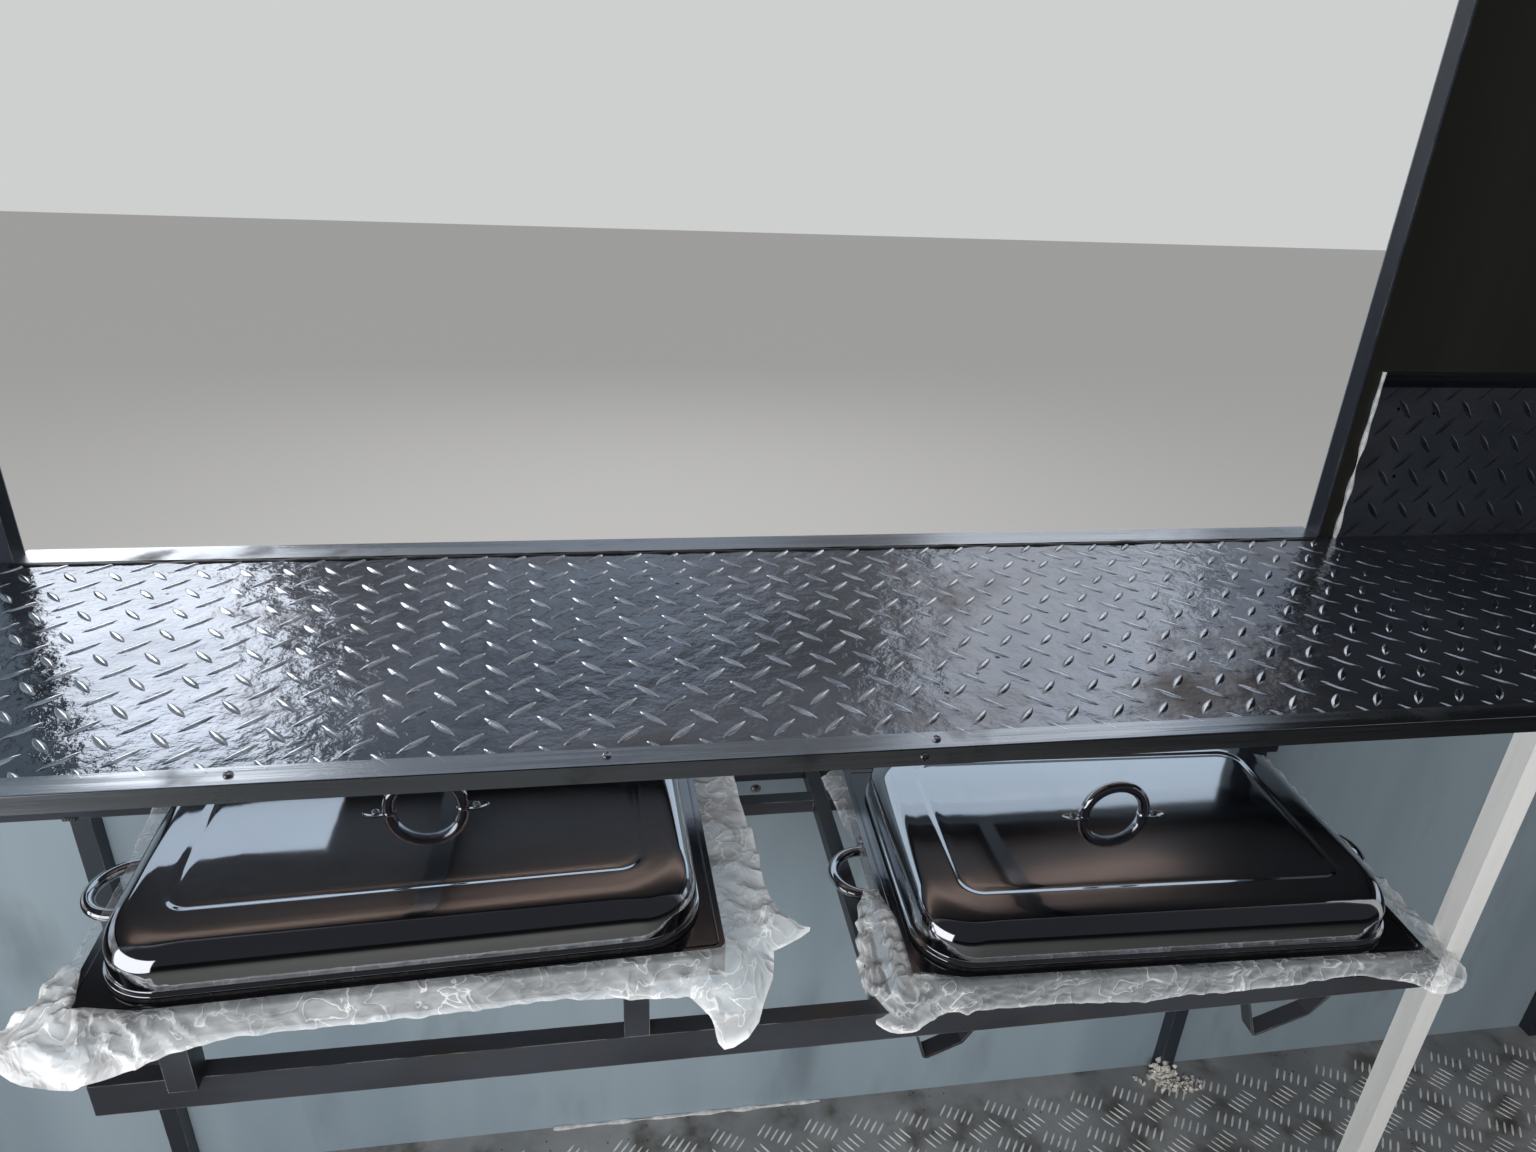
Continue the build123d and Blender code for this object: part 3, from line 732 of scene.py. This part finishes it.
# Inset from the skirt, height above the seal and corner radius, all in mm, from the foot to the middle
LID_PROFILE = (
    (1.2, 0.0, 61),
    (0.2, 0.6, 62),
    (0.0, 1.8, 62),
    (0.4, 3.0, 62),
    (1.8, 4.0, 61),
    (2.8, 5.4, 61),
    (3.0, 9.0, 61),
    (3.1, 16.0, 61),
    (3.6, 24.0, 61),
    (5.0, 31.0, 62),
    (7.8, 37.6, 63),
    (12.0, 43.2, 64),
    (17.2, 47.0, 65),
    (23.0, 49.1, 63),
    (30.0, 49.9, 58),
    (38.0, 50.3, 48),
    (49.0, 50.8, 29),
    (51.5, 50.8, 26),
    (53.0, 50.6, 25),
    (55.0, 50.1, 24),
    (56.5, 49.75, 23),
    (58.0, 49.6, 22),
    (60.0, 49.75, 22),
    (64.0, 50.2, 22),
    (72.0, 50.5, 22),
    (100.0, 51.0, 22),
    (150.0, 51.0, 12),
)


def lid_mesh():
    """Lid skin: one rounded rectangle per point of the smoothed profile, inset and lifted by it.

    A last ring of no width closes the middle.
    """
    inset, rise, corner = (smooth_line(LID_PROFILE, steps=5) * MM).T
    half_x, half_y = LID_LENGTH / 2, LID_DEPTH / 2
    corner = np.minimum(corner, half_y - inset - MM)
    points, _ = rounded_rings(half_x - inset, half_y - inset, corner, rise, per_corner=18)
    slit = points[-1:] * (1, 0, 1)
    points = np.concatenate((points, slit))
    return points, grid_faces(len(points), points.shape[1], wrap=True)


# Ring handles, with their lugs and screws
HANDLE_RADIUS = 37 * MM
HANDLE_BAR = 6.5 * MM
HANDLE_RISE = 4.5 * MM
HANDLE_FOOT = 1.12  # the bar swells by this where it meets its lug
LUG_LENGTH = 33 * MM
LUG_WIDTH = 16 * MM
LUG_SIDES = 32
# A raised border round a lower middle: inset from the lug's edge and height, in mm
LUG_PROFILE = ((0, 0), (0, 1.3), (0.7, 2.0), (1.8, 2.0), (2.6, 1.5), (5.0, 1.4), (8.0, 1.4))
SCREW_RADIUS = 4.2 * MM
SCREW_HEIGHT = 2.6 * MM
SCREW_OFFSET = 3.5 * MM  # outwards from the lug's middle
SCREW_SEAT = 1.3 * MM  # above the lug's foot
RECESS_DEPTH = 1.1 * MM
RECESS_ARM = 0.17  # half the width of an arm, as a share of the head's radius
RECESS_REACH = 0.62


def handle_bar():
    """Half ring on two legs, in the plane y = 0: (r cos a, 0, rise + r sin a), legs down to the seat."""
    angle = np.linspace(math.pi, 0, 33)
    arch = xyz(np.cos(angle), 0, np.sin(angle)) * HANDLE_RADIUS
    arch[:, 2] += HANDLE_RISE
    left = xyz(-HANDLE_RADIUS, 0, np.linspace(0.0, HANDLE_RISE * 0.9, 4))
    right = left[::-1] * (-1, 1, 1)
    path = np.concatenate((left, arch, right))
    radius = np.full(len(path), HANDLE_BAR)
    radius[:2] = radius[-2:] = HANDLE_BAR * HANDLE_FOOT
    return tube(path, radius, sides=18, lean=(0, 1, 0))


def oval_lug(middle):
    """Oval plate with a raised border: (a - d) cos t, (b - d) sin t, h for each (inset d, height h)."""
    inset, rise = np.hsplit(np.array(LUG_PROFILE) * MM, 2)
    t = circle(LUG_SIDES)
    x = middle + (LUG_LENGTH / 2 - inset) * np.cos(t)
    y = (LUG_WIDTH / 2 - inset) * np.sin(t)
    return xyz(x, y, rise), grid_faces(len(rise), LUG_SIDES, wrap=True)


def screw_head():
    """Pan head: z = h (1 - (r/R)^4)^0.5, less a crossed recess where |x| or |y| is small near the middle."""
    rings, sides = 12, 40
    r = np.linspace(1, 0, rings)[:, None] * SCREW_RADIUS
    a = circle(sides)
    x, y = r * np.cos(a), r * np.sin(a)
    z = SCREW_HEIGHT * np.sqrt(np.clip(1 - (r / SCREW_RADIUS) ** 4, 0, 1))
    arm = np.minimum(np.abs(x), np.abs(y)) < RECESS_ARM * SCREW_RADIUS
    z = z - RECESS_DEPTH * (arm & (r < RECESS_REACH * SCREW_RADIUS))
    return xyz(x, y, z), grid_faces(rings, sides, wrap=True)


def handle_set(name, origin, along, out, body, replaced):
    """One handle: bar, two lugs and two screws."""
    lug_middle = HANDLE_RADIUS + LUG_LENGTH / 2 - HANDLE_BAR
    lugs = join(oval_lug(-lug_middle), oval_lug(lug_middle))
    bar = piece(f"{name}_bar", set_on(handle_bar(), origin, along, out), "mirror_steel", body)
    piece(f"{name}_lugs", set_on(lugs, origin, along, out), "mirror_steel", body)
    heads = []
    for side in (-1, 1):
        seat = origin + along * side * (lug_middle + SCREW_OFFSET) + out * SCREW_SEAT
        heads.append(set_on(screw_head(), seat, along, out))
    piece(f"{name}_screws", join(*heads), "screw_steel", body)
    if replaced:
        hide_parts(replaced)


# Inset and height of the line round the rim plate, in mm
RIM_BEAD = ((6.0, -0.2), (6.0, 0.5), (6.6, 1.0), (7.4, 1.0), (8.0, 0.5), (8.0, -0.2))
RIM_CORNER = 8 * MM


def rim_line():
    """Narrow raised line round the rim plate: its half-round profile carried along a rounded rectangle."""
    inset, rise = (np.array(RIM_BEAD) * MM).T
    half_x, half_y = RIM_LENGTH / 2 - inset, RIM_DEPTH / 2 - inset
    return rounded_rings(half_x, half_y, RIM_CORNER - inset * 0.4, rise, per_corner=5)


# Film round each rim. Columns: share of the way round from the back left to the back right,
# cut width in mm, droop in degrees, crumple height in mm
FILM_LEFT = (
    (0.00, 20, 6, 1.5),
    (0.09, 16, 10, 2),
    (0.125, 8, 12, 1),
    (0.165, 8, 14, 1),
    (0.225, 14, 24, 2),
    (0.248, 34, 22, 9),
    (0.272, 52, 24, 14),
    (0.296, 58, 34, 14),
    (0.322, 50, 56, 11),
    (0.352, 44, 80, 4),
    (0.385, 38, 88, 1.6),
    (0.46, 44, 88, 1.4),
    (0.560, 40, 88, 1.6),
    (0.640, 44, 86, 2),
    (0.692, 52, 80, 4),
    (0.708, 74, 78, 5),
    (0.717, 112, 74, 6),
    (0.725, 66, 52, 5),
    (0.735, 56, 26, 5),
    (0.743, 92, 10, 6),
    (0.754, 62, 6, 5),
    (0.860, 48, 2, 4),
    (1.00, 52, 0, 3),
)
FILM_RIGHT = (
    (0.00, 30, 24, 4),
    (0.08, 20, 30, 3),
    (0.12, 8, 30, 1),
    (0.165, 10, 32, 1.5),
    (0.19, 36, 44, 6),
    (0.235, 54, 50, 8),
    (0.272, 60, 62, 7),
    (0.31, 44, 82, 3),
    (0.37, 40, 88, 1.6),
    (0.46, 46, 88, 1.4),
    (0.58, 38, 88, 1.6),
    (0.66, 26, 80, 1.8),
    (0.705, 38, 60, 4),
    (0.727, 56, 26, 6),
    (0.752, 34, 12, 4),
    (0.86, 24, 6, 3),
    (1.00, 26, 4, 3),
)
# How far the film reaches in over the rim, in mm, by the share of the way round
PERCH_LEFT = ((0.0, 3), (0.232, 3), (0.262, 13), (0.292, 13), (0.325, 3), (1.0, 3))
PERCH_RIGHT = ((0.0, 3), (0.18, 3), (0.21, 13), (0.292, 13), (0.325, 3), (1.0, 3))
FILM_SEAT = 3 * MM  # the part of that reach which the cut widths count already
FILM_STEP = 2.4 * MM
FILM_ACROSS = 44
FILM_OFF = 1.2 * MM
FILM_CORNER = 12 * MM
FILM_BEND = 7 * MM
FILM_RAGGED = 0.06  # share by which the width wanders
FOLD = 34 * MM
PLEAT = 21 * MM
FULLNESS = 1.14  # sheet that the folds take up
FREE_OFF = 6 * MM  # the folds lift the film fully from here outwards
PILE_START = 4 * MM  # film piles up where its perch is wider than this
PILE_RANGE = 9 * MM
PILE_FADE = 12 * MM
NARROW = 26 * MM  # film this narrow begins to lie tight
NARROW_RANGE = 12 * MM
HEM_START = 0.86  # share of the way across
HEM_RANGE = 0.1


def folds(u, v, size, slant, seed, count=5):
    """Sharp folds, about -1 to 1, that run across the strip: bent triangle waves, added up.

    Each wave's p is (u + lean v + bow) / length, its bow two slow sines; the sum is over count^0.5.
    """
    draw = np.random.default_rng(seed)
    total = np.zeros(np.broadcast(u, v).shape)
    for _ in range(count):
        length, lean, phase = size * draw.uniform(0.55, 2.3), draw.uniform(-slant, slant), draw.uniform(0, 9)
        bow = 0.35 * size * np.sin(v / (0.9 * size) + phase)
        bow = bow + 0.8 * size * np.sin(u / (5.3 * size) + 2 * phase)
        total += triangle((u + lean * v + bow) / length + phase)
    return total / math.sqrt(count)


def film_mesh(table, perches, seed, haze):
    """Strip of film round three sides of the rim, from its back left to its back right.

    The first parameter, u, walks the rim's edge with round corners; the second, v, is the way
    across. The strip reaches in over the rim by its perch, lies flat to the edge and bends down to
    its droop there: reach = sum cos(slope) dv - perch, fall = sum sin(slope) dv. Folds across it
    and finer creases push each point square to the sheet, and a second field slides it along the
    edge, both by the crumple height and more towards the free edge. Film on a wide perch is piled
    up. The width wanders with a slow wave. The mark "milk" is the haze, more where the film is
    bunched, along its hem and where it is piled, and less where it is narrow and tight.
    """
    length = 2 * RIM_DEPTH + RIM_LENGTH
    steps = int(length / FILM_STEP)
    walk = np.linspace(0, length, steps)
    turn = FILM_CORNER * math.pi / 4
    bends = [np.clip((walk - at + turn) / (2 * turn), 0, 1) for at in (RIM_DEPTH, RIM_DEPTH + RIM_LENGTH)]
    heading = math.pi / 2 * (bends[0] + bends[1])
    way = xyz(np.sin(heading), -np.cos(heading), 0)
    out = xyz(-np.cos(heading), -np.sin(heading), 0)
    edge = np.cumsum(way, axis=0) * (walk[1] - walk[0])
    edge -= (edge.min(axis=0) + edge.max(axis=0)) / 2

    share, cut, droop, crumple = np.array(table, float).T
    cut, droop, crumple = (np.interp(walk / length, share, row)[:, None] for row in (cut, droop, crumple))
    perch = np.interp(walk / length, *np.array(perches, float).T)[:, None] * MM
    ragged = 1 + FILM_RAGGED * creases(walk, 0 * walk, size=80 * MM, waves=5, seed=seed + 7)[:, None]
    width = cut * MM * ragged + perch - FILM_SEAT
    droop, crumple = np.radians(droop), crumple * MM
    t = np.linspace(0, 1, FILM_ACROSS)[None]
    run = t * width
    free = np.clip(run - perch, 0, None)
    slope = droop * np.clip(free / FILM_BEND, 0, 1)
    step = width / (FILM_ACROSS - 1)
    reach = np.cumsum(np.cos(slope) * step, axis=1) - step - perch
    fall = np.cumsum(np.sin(slope) * step, axis=1)

    u, v = np.broadcast_to(walk[:, None], run.shape), run
    lift = 0.55 * folds(u, v, FOLD, slant=0.5, seed=seed)
    lift += 0.6 * creases(u, v, FOLD * 0.9, waves=4, seed=seed + 1)
    lift += 0.5 * creases(u, v, FOLD * 0.42, waves=5, seed=seed + 2)
    slide = creases(u, v, FOLD * 1.3, waves=6, seed=seed + 4)
    pleats = triangle(v / PLEAT + 0.4 * np.sin(u / 0.11))
    loose = np.clip(free / (0.5 * width), 0, 1) ** 0.7
    height = crumple * loose
    push = 0.62 * lift * height + 0.3 * MM * pleats * loose + 0.5 * MM * np.abs(lift)
    piled = np.clip((perch - PILE_START) / PILE_RANGE, 0, 1) * np.clip(1 - free / PILE_FADE, 0, 1)
    piled *= np.clip(run / PILE_START, 0, 1)
    outward = (reach + push * np.sin(slope))[..., None]
    points = edge[:, None] + out[:, None] * outward + way[:, None] * (0.35 * slide * height)[..., None]
    points[..., 2] += FILM_OFF - fall + push * np.cos(slope) * np.clip(free / FREE_OFF, 0, 1)
    points[..., 2] += 0.5 * piled * np.abs(lift) * crumple

    tight = np.clip((NARROW - width) / NARROW_RANGE, 0, 1)
    hem = np.clip((t - HEM_START) / HEM_RANGE, 0, 1)
    milk = haze + 0.07 * height / MM * t + 0.2 * hem + 0.45 * piled - 0.35 * tight
    flat = (float(width.max()) * FULLNESS, length)
    area = float(width.mean()) * FULLNESS * length
    return (points, grid_faces(steps, FILM_ACROSS)), flat, area, milk


# Side, turn, film's table and perches, its seed and its haze
DISHES = (
    ("left", LEFT_TURN, FILM_LEFT, PERCH_LEFT, 11, 0.0),
    ("right", RIGHT_TURN, FILM_RIGHT, PERCH_RIGHT, 47, -0.17),
)
for side, turn, film_table, perches, film_seed, haze in DISHES:
    body = f"lid_{side}_body"
    rim_low, rim_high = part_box(f"water_pan_{side}")
    lid_low, lid_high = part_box(f"lid_{side}")
    grip_low, grip_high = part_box(f"pan_grips_{side}")
    up = np.array(UP)
    along = np.array((math.cos(turn), math.sin(turn), 0))
    middle = np.array(((rim_low.x + rim_high.x) / 2, (rim_low.y + rim_high.y) / 2, 0))
    rim_top = middle + up * rim_high.z
    lid = piece(
        f"lid_{side}_skin",
        set_on(lid_mesh(), middle + up * lid_low.z, along, up),
        "mirror_steel",
        body,
        sharp=LID_SHARP,
    )
    wall = lid.modifiers.new("wall", "SOLIDIFY")
    wall.thickness = LID_WALL
    wall.offset = -1.0
    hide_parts(f"lid_{side}")
    lid_top = middle + up * lid_high.z
    handle_set(f"lid_handle_{side}", lid_top, along, up, body, f"lid_handle_{side}")
    grip_middle = middle + up * (grip_low.z + grip_high.z) / 2
    for tag, way in (("a", -1), ("b", 1)):
        handle_set(
            f"pan_grip_{side}_{tag}",
            grip_middle + along * way * RIM_LENGTH / 2,
            np.cross(up, along),
            along * way,
            "root",
            f"pan_grips_{side}" if tag == "a" else None,
        )
    piece(f"rim_line_{side}", set_on(rim_line(), rim_top, along, up), "pan_steel")
    film_form, film_flat, film_area, milk = film_mesh(film_table, perches, film_seed, haze)
    film = piece(
        f"film_{side}_sheet",
        set_on(film_form, rim_top, along, up),
        "film",
        sharp=20,
        closed=False,
        marks={"milk": milk},
    )
    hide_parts(f"film_{side}")


# Screws on the front angle, by their X from the datum: through its top and through its face
TOP_SCREWS = (0.410, 0.712, 1.004, 1.640)
FACE_SCREWS = (0.990, 1.628)
TOP_SCREWS_BACK = 1 * MM

top_y = (angle_low.y + angle_high.y) / 2 + TOP_SCREWS_BACK
face_z = (angle_low.z + angle_high.z) / 2
heads = [set_on(screw_head(), (DATUM_X + x, top_y, angle_high.z), ALONG, UP) for x in TOP_SCREWS]
heads += [set_on(screw_head(), (DATUM_X + x, angle_low.y, face_z), ALONG, INWARDS) for x in FACE_SCREWS]
piece("front_angle_screws", join(*heads), "screw_steel")


# Glue and sealant, and a black strip of painted shade
BEAD_STEP = 4 * MM


def leaned(start, end):
    """Way that a bar's section leans: upwards on a level line, and outwards on an upright one."""
    run = end - start
    return (0, 0, 1) if abs(run[2]) < np.linalg.norm(run[:2]) else (0, 1, 0)


def bead(start, end, radius, wobble, flat, seed):
    """Bead along a straight line: radius (1 + wobble n(s)), n a sum of sines, squashed along Z by flat.

    Its middle drifts up and down by another such sum. Only a level bead is squashed.
    """
    start, end = np.asarray(start, float), np.asarray(end, float)
    count = max(int(np.linalg.norm(end - start) / BEAD_STEP), 4)
    path = start + (end - start) * np.linspace(0, 1, count)[:, None]
    draw = np.random.default_rng(seed)
    wave, phase = draw.uniform(0.05, 0.5, 7), draw.uniform(0, 6.28, 7)
    station = np.arange(count)[:, None]
    swell = np.sin(station * wave + phase).mean(axis=1) * 2
    drift = np.sin(station * wave[::-1] + phase[::-1]).mean(axis=1)
    path[:, 2] += 0.3 * radius * drift
    size = radius * np.clip(1 + wobble * swell, 0.15, 2.4)
    lean = leaned(start, end)
    points, faces = tube(path, size, sides=10, lean=lean)
    if lean[2]:
        centre = np.concatenate((path[:1], path, path[-1:]))[:, None, 2]
        points[..., 2] = centre + (points[..., 2] - centre) * flat
    return points, faces


# A black strip of painted shade where the plate tucks under the sill strip, glue between the hatch post and
# the splashback, from its foot to a little above it, and sealant on the line where the floor meets the wall
tuck_y, tuck_z = sill_low.y - 4 * MM, plate_high.z
line_y, line_z = 0.3035, floor_high.z + 1 * MM
glue_x, glue_y, glue_z = splash_low
# Name, finish and slot, start and end, then radius, wobble, flat and seed
BEADS = (
    (
        ("sill_shade_strip", "painted_shade_black", "trim_alloy"),
        ((sill_low.x, tuck_y, tuck_z), (sill_high.x, tuck_y, tuck_z), 4.8 * MM, 0.1, 0.35, 5),
    ),
    (
        ("splashback_glue", "pale_sealant", "trim_alloy"),
        ((glue_x, glue_y, glue_z), (glue_x, glue_y, splash_high.z + 10 * MM), 2.6 * MM, 0.7, 1.0, 9),
    ),
    (
        ("floor_line_sealant", "pale_sealant", "wall_paint"),
        ((DATUM_X + 0.60, line_y, line_z), (DATUM_X + 1.06, line_y, line_z), 3.6 * MM, 0.6, 0.7, 21),
    ),
)
for (name, finish, slot), settings in BEADS:
    piece(name, bead(*settings), finish)


# Filler at the foot of the right hatch post: a heap and the crumbs beside it
def lumps(middle, spread, count, size, seed):
    """Crumbs round a point: small balls, each stretched by its own three sizes and dented by sines."""
    rings, sides = 6, 8
    draw = np.random.default_rng(seed)
    polar = np.linspace(0, math.pi, rings)[:, None]
    turn = circle(sides)
    ball = xyz(np.sin(polar) * np.cos(turn), np.sin(polar) * np.sin(turn), np.cos(polar))
    dents = 1 + 0.35 * np.sin(draw.uniform(0, 6.28, (count, 1, 1)) + 3 * turn + 2 * polar)
    scale = size * draw.uniform(0.4, 1.3, (count, 1, 1, 3))
    offset = draw.normal(0, 1, (count, 3)) * spread
    offset[:, 2] = np.abs(offset[:, 2])
    points = ball[None] * dents[..., None] * scale + (np.asarray(middle) + offset)[:, None, None]
    shift = np.arange(count)[:, None, None] * (rings * sides)
    return points.reshape(-1, 3), (grid_faces(rings, sides, wrap=True)[None] + shift).reshape(-1, 4)


foot = np.array((right_post_low.x + 4 * MM, right_post_low.y - 4 * MM, floor_high.z + 1 * MM))
beside = foot + (20 * MM, -12 * MM, 0)
crumbs = join(
    lumps(foot, spread=(0.010, 0.007, 0.014), count=90, size=5.5 * MM, seed=3),
    lumps(beside, spread=(0.024, 0.010, 0.003), count=80, size=4.2 * MM, seed=4),
)
piece("post_foot_filler", crumbs, "filler")


# Weld runs of the rack
WELD_STEP = 0.5 * MM
WELD_PITCH = 3.4 * MM
WELD_SWELL = 0.16
WELD_SHY = 2 * MM  # how far a run stops short of an edge
REAR_RAIL_SIDES = (0.978, 0.997, 1.562, 1.581, 0.238, 0.257)  # X from the datum


def weld(start, end, radius):
    """Weld run: a bead whose radius swells once per pitch, r (1 + 0.16 cos(2 pi s / pitch))."""
    start, end = np.asarray(start, float), np.asarray(end, float)
    length = np.linalg.norm(end - start)
    s = np.linspace(0, length, max(int(length / WELD_STEP), 6))
    taper = np.clip(np.minimum(s, length - s) / radius, 0.25, 1)
    size = radius * (1 + WELD_SWELL * np.cos(2 * math.pi * s / WELD_PITCH)) * taper
    path = start + (end - start) * (s / length)[:, None]
    return tube(path, size, sides=10, lean=leaned(start, end))


rail_end, rail_back, rail_top = rail_low.x, rail_high.y, rail_high.z
seam_z = rail_top - WELD_SHY / 2
left_in, left_out, right_in = left_post_low.x, left_post_high.x, right_post_low.x
ledger_y, ledger_back, ledger_z = ledger_low.y, ledger_high.y, ledger_low.z
# Start, end and radius of each run
weld_lines = [
    ((rail_end, rail_low.y + 2 * WELD_SHY, rail_top), (rail_end, rail_back - WELD_SHY, rail_top), 2.8 * MM),
    ((rail_end + WELD_SHY / 2, rail_back, seam_z), (rail_end + 18 * MM, rail_back, seam_z), 2.2 * MM),
    ((left_in + WELD_SHY, ledger_y, ledger_z), (left_out - WELD_SHY, ledger_y, ledger_z), 2.8 * MM),
    ((left_out, ledger_y + WELD_SHY, ledger_z), (left_out, ledger_back, ledger_z), 2.6 * MM),
    ((right_in, ledger_y + WELD_SHY, ledger_z), (right_in, ledger_back, ledger_z), 2.6 * MM),
]
for x in DATUM_X + np.array(REAR_RAIL_SIDES):
    for y, radius in ((ledger_y, 2.0 * MM), (rear_low.y, 1.8 * MM)):
        weld_lines.append(((x, y, rear_high.z - 17 * MM), (x, y, rear_high.z - WELD_SHY), radius))
piece("rack_welds", join(*(weld(*line) for line in weld_lines)), "weld_steel")

# Small bolt on the wall: radius and height in mm of its head and washer
BOLT_PROFILE = ((0, 4), (4, 4), (5.2, 3.2), (5.4, 1), (7.5, 0.8), (7.6, -0.3), (0, -0.3))
bolt = turned(np.array(BOLT_PROFILE) * MM, sides=24)
bolt = set_on(bolt, (DATUM_X + 0.920, floor_high.y, 0.736), ALONG, INWARDS)
piece("wall_bolt", bolt, "screw_steel")


# Stage: grey floor, dim inside with daylight outside, soft lamps
STAGE_HALF = 14.0
# Near and far tones of the floor in what mirrors and lamps see: the darker far tone is painted shade
GROUND_NEAR = tone((84, 83, 80))
GROUND_FAR = tone((34, 34, 35))
GROUND_FADE = (1.2, 5.0)  # distances from the bay's middle
GROUND_SEEN = tone((165, 164, 162))
GROUND_GLOW = tone((206, 204, 199))
GLOW_STRENGTH = 0.42


def stage_floor():
    """Flat grey floor well past the view, darker away from the bay in what mirrors and lamps see; that
    darkening is painted shade for light falling off with distance.
    """
    half = STAGE_HALF
    data = bpy.data.meshes.new("stage_floor")
    corners = [(-half, -half, 0), (half, -half, 0), (half, half, 0), (-half, half, 0)]
    data.from_pydata(corners, [], [(0, 1, 2, 3)])
    tree, shader = new_finish("stage_floor")
    seen = put(tree, "ShaderNodeLightPath").outputs["Is Camera Ray"]
    away = put(tree, "ShaderNodeVectorMath", {0: object_place(tree)}, operation="LENGTH").outputs["Value"]
    away = ranged(tree, away, start=GROUND_FADE[0], stop=GROUND_FADE[1], ease="SMOOTHSTEP")
    ground = blend(tree, away, GROUND_NEAR, GROUND_FAR)
    colour = blend(tree, seen, ground, GROUND_SEEN)
    glow = ranged(tree, seen, 0.0, GLOW_STRENGTH)
    feed(tree, shader, {"Base Color": colour, "Emission Color": GROUND_GLOW, "Emission Strength": glow})
    feed(tree, shader, {"Roughness": 0.9, "Specular IOR Level": 0.1})
    data.materials.append(FINISHES["stage_floor"])
    thing = new_object("stage_floor", data)


ROOM_INSIDE = (0.028, 0.028, 0.033, 1)
ROOM_SHADE = (0.2, 0.185, 0.175, 1)
ROOM_SKY = (0.52, 0.58, 0.66, 1)
ROOM_SEEN = (0.62, 0.63, 0.63, 1)


def room():
    """World: uneven daylight towards the outside, +Y, and dim behind the camera, as in a trailer by day."""
    world = bpy.data.worlds.new("room")
    world.use_nodes = True
    tree = world.node_tree
    way = put(tree, "ShaderNodeTexCoord").outputs["Generated"]
    outwards = put(tree, "ShaderNodeSeparateXYZ", {0: way}).outputs["Y"]
    daylit = ranged(tree, outwards, start=-0.25, stop=0.2, ease="SMOOTHSTEP")
    clear = ranged(tree, noise(tree, way, 3.4, detail=5.0), start=0.4, stop=0.62, ease="SMOOTHSTEP")
    colour = blend(tree, daylit, ROOM_INSIDE, blend(tree, clear, ROOM_SHADE, ROOM_SKY))
    seen = put(tree, "ShaderNodeLightPath").outputs["Is Camera Ray"]
    colour = blend(tree, seen, colour, ROOM_SEEN)
    feed(tree, tree.nodes["Background"], {"Color": colour, "Strength": 1.0})
    bpy.context.scene.world = world


def lamp(name, place, target, width, height, power, colour, mirrored):
    """Soft rectangular lamp that looks at a point. The camera doesn't see it; mirrors may."""
    data = bpy.data.lights.new(name, "AREA")
    data.shape = "RECTANGLE"
    data.size, data.size_y = width, height
    data.energy = power
    data.color = colour
    thing = new_object(name, data)
    place, target = np.array(place) + (DATUM_X, 0, 0), np.array(target) + (DATUM_X, 0, 0)
    back = (place - target) / np.linalg.norm(place - target)
    right = np.cross(UP, back)
    right /= np.linalg.norm(right)
    thing.matrix_world = frame_of(right, np.cross(back, right), back, place.tolist())
    thing.visible_camera = False
    thing.visible_glossy = mirrored


WHITE = (1.0, 1.0, 1.0)
WARM = (1.0, 0.77, 0.6)
COOL = (0.74, 0.87, 1.0)
# Name, place and target (X from the datum), width, height, power in watts, colour, seen in mirrors. The
# targets of lamps that look straight up or down stand a hair aside, which sets how those are turned.
LAMPS = (
    ("outer_left", (-1.05, 2.0, 2.25), (0.4, 0.0, 1.1), 1.5, 1.1, 15, WHITE, True),
    ("outer_right", (2.2, 2.0, 2.3), (1.3, 0.0, 1.1), 0.9, 1.1, 2.8, WHITE, True),
    ("door", (-1.5, -1.3, 0.85), (0.8, 0.1, 0.6), 2.4, 1.5, 17, WHITE, True),
    ("lit_ground", (-0.85, -0.6, 0.01), (-0.85, -0.6001, 1.0), 0.9, 0.7, 1.8, WHITE, True),
    ("outer_sky", (0.8, 4.0, 3.2), (0.8, 0.3, 0.8), 3.0, 2.0, 70, WHITE, False),
    ("inner_fill", (0.42, -2.2, 1.6), (0.66, 0.3, 0.5), 2.0, 1.6, 69, WHITE, False),
    ("low_fill", (0.8, 0.025, 1.075), (0.79998, 0.0251, 1.12), 1.45, 0.03, 1.35, WARM, False),
    ("under_left", (0.2, 0.20, 1.12), (0.2, 0.2001, 0.5), 0.34, 0.1, 0.08, COOL, True),
    ("under_wall", (0.86, 0.272, 1.04), (0.86, 0.0, 1.04), 1.56, 0.12, 0.4, COOL, True),
)
stage_floor()
room()
for settings in LAMPS:
    lamp(*settings)
bpy.context.scene.view_settings.view_transform = "Standard"
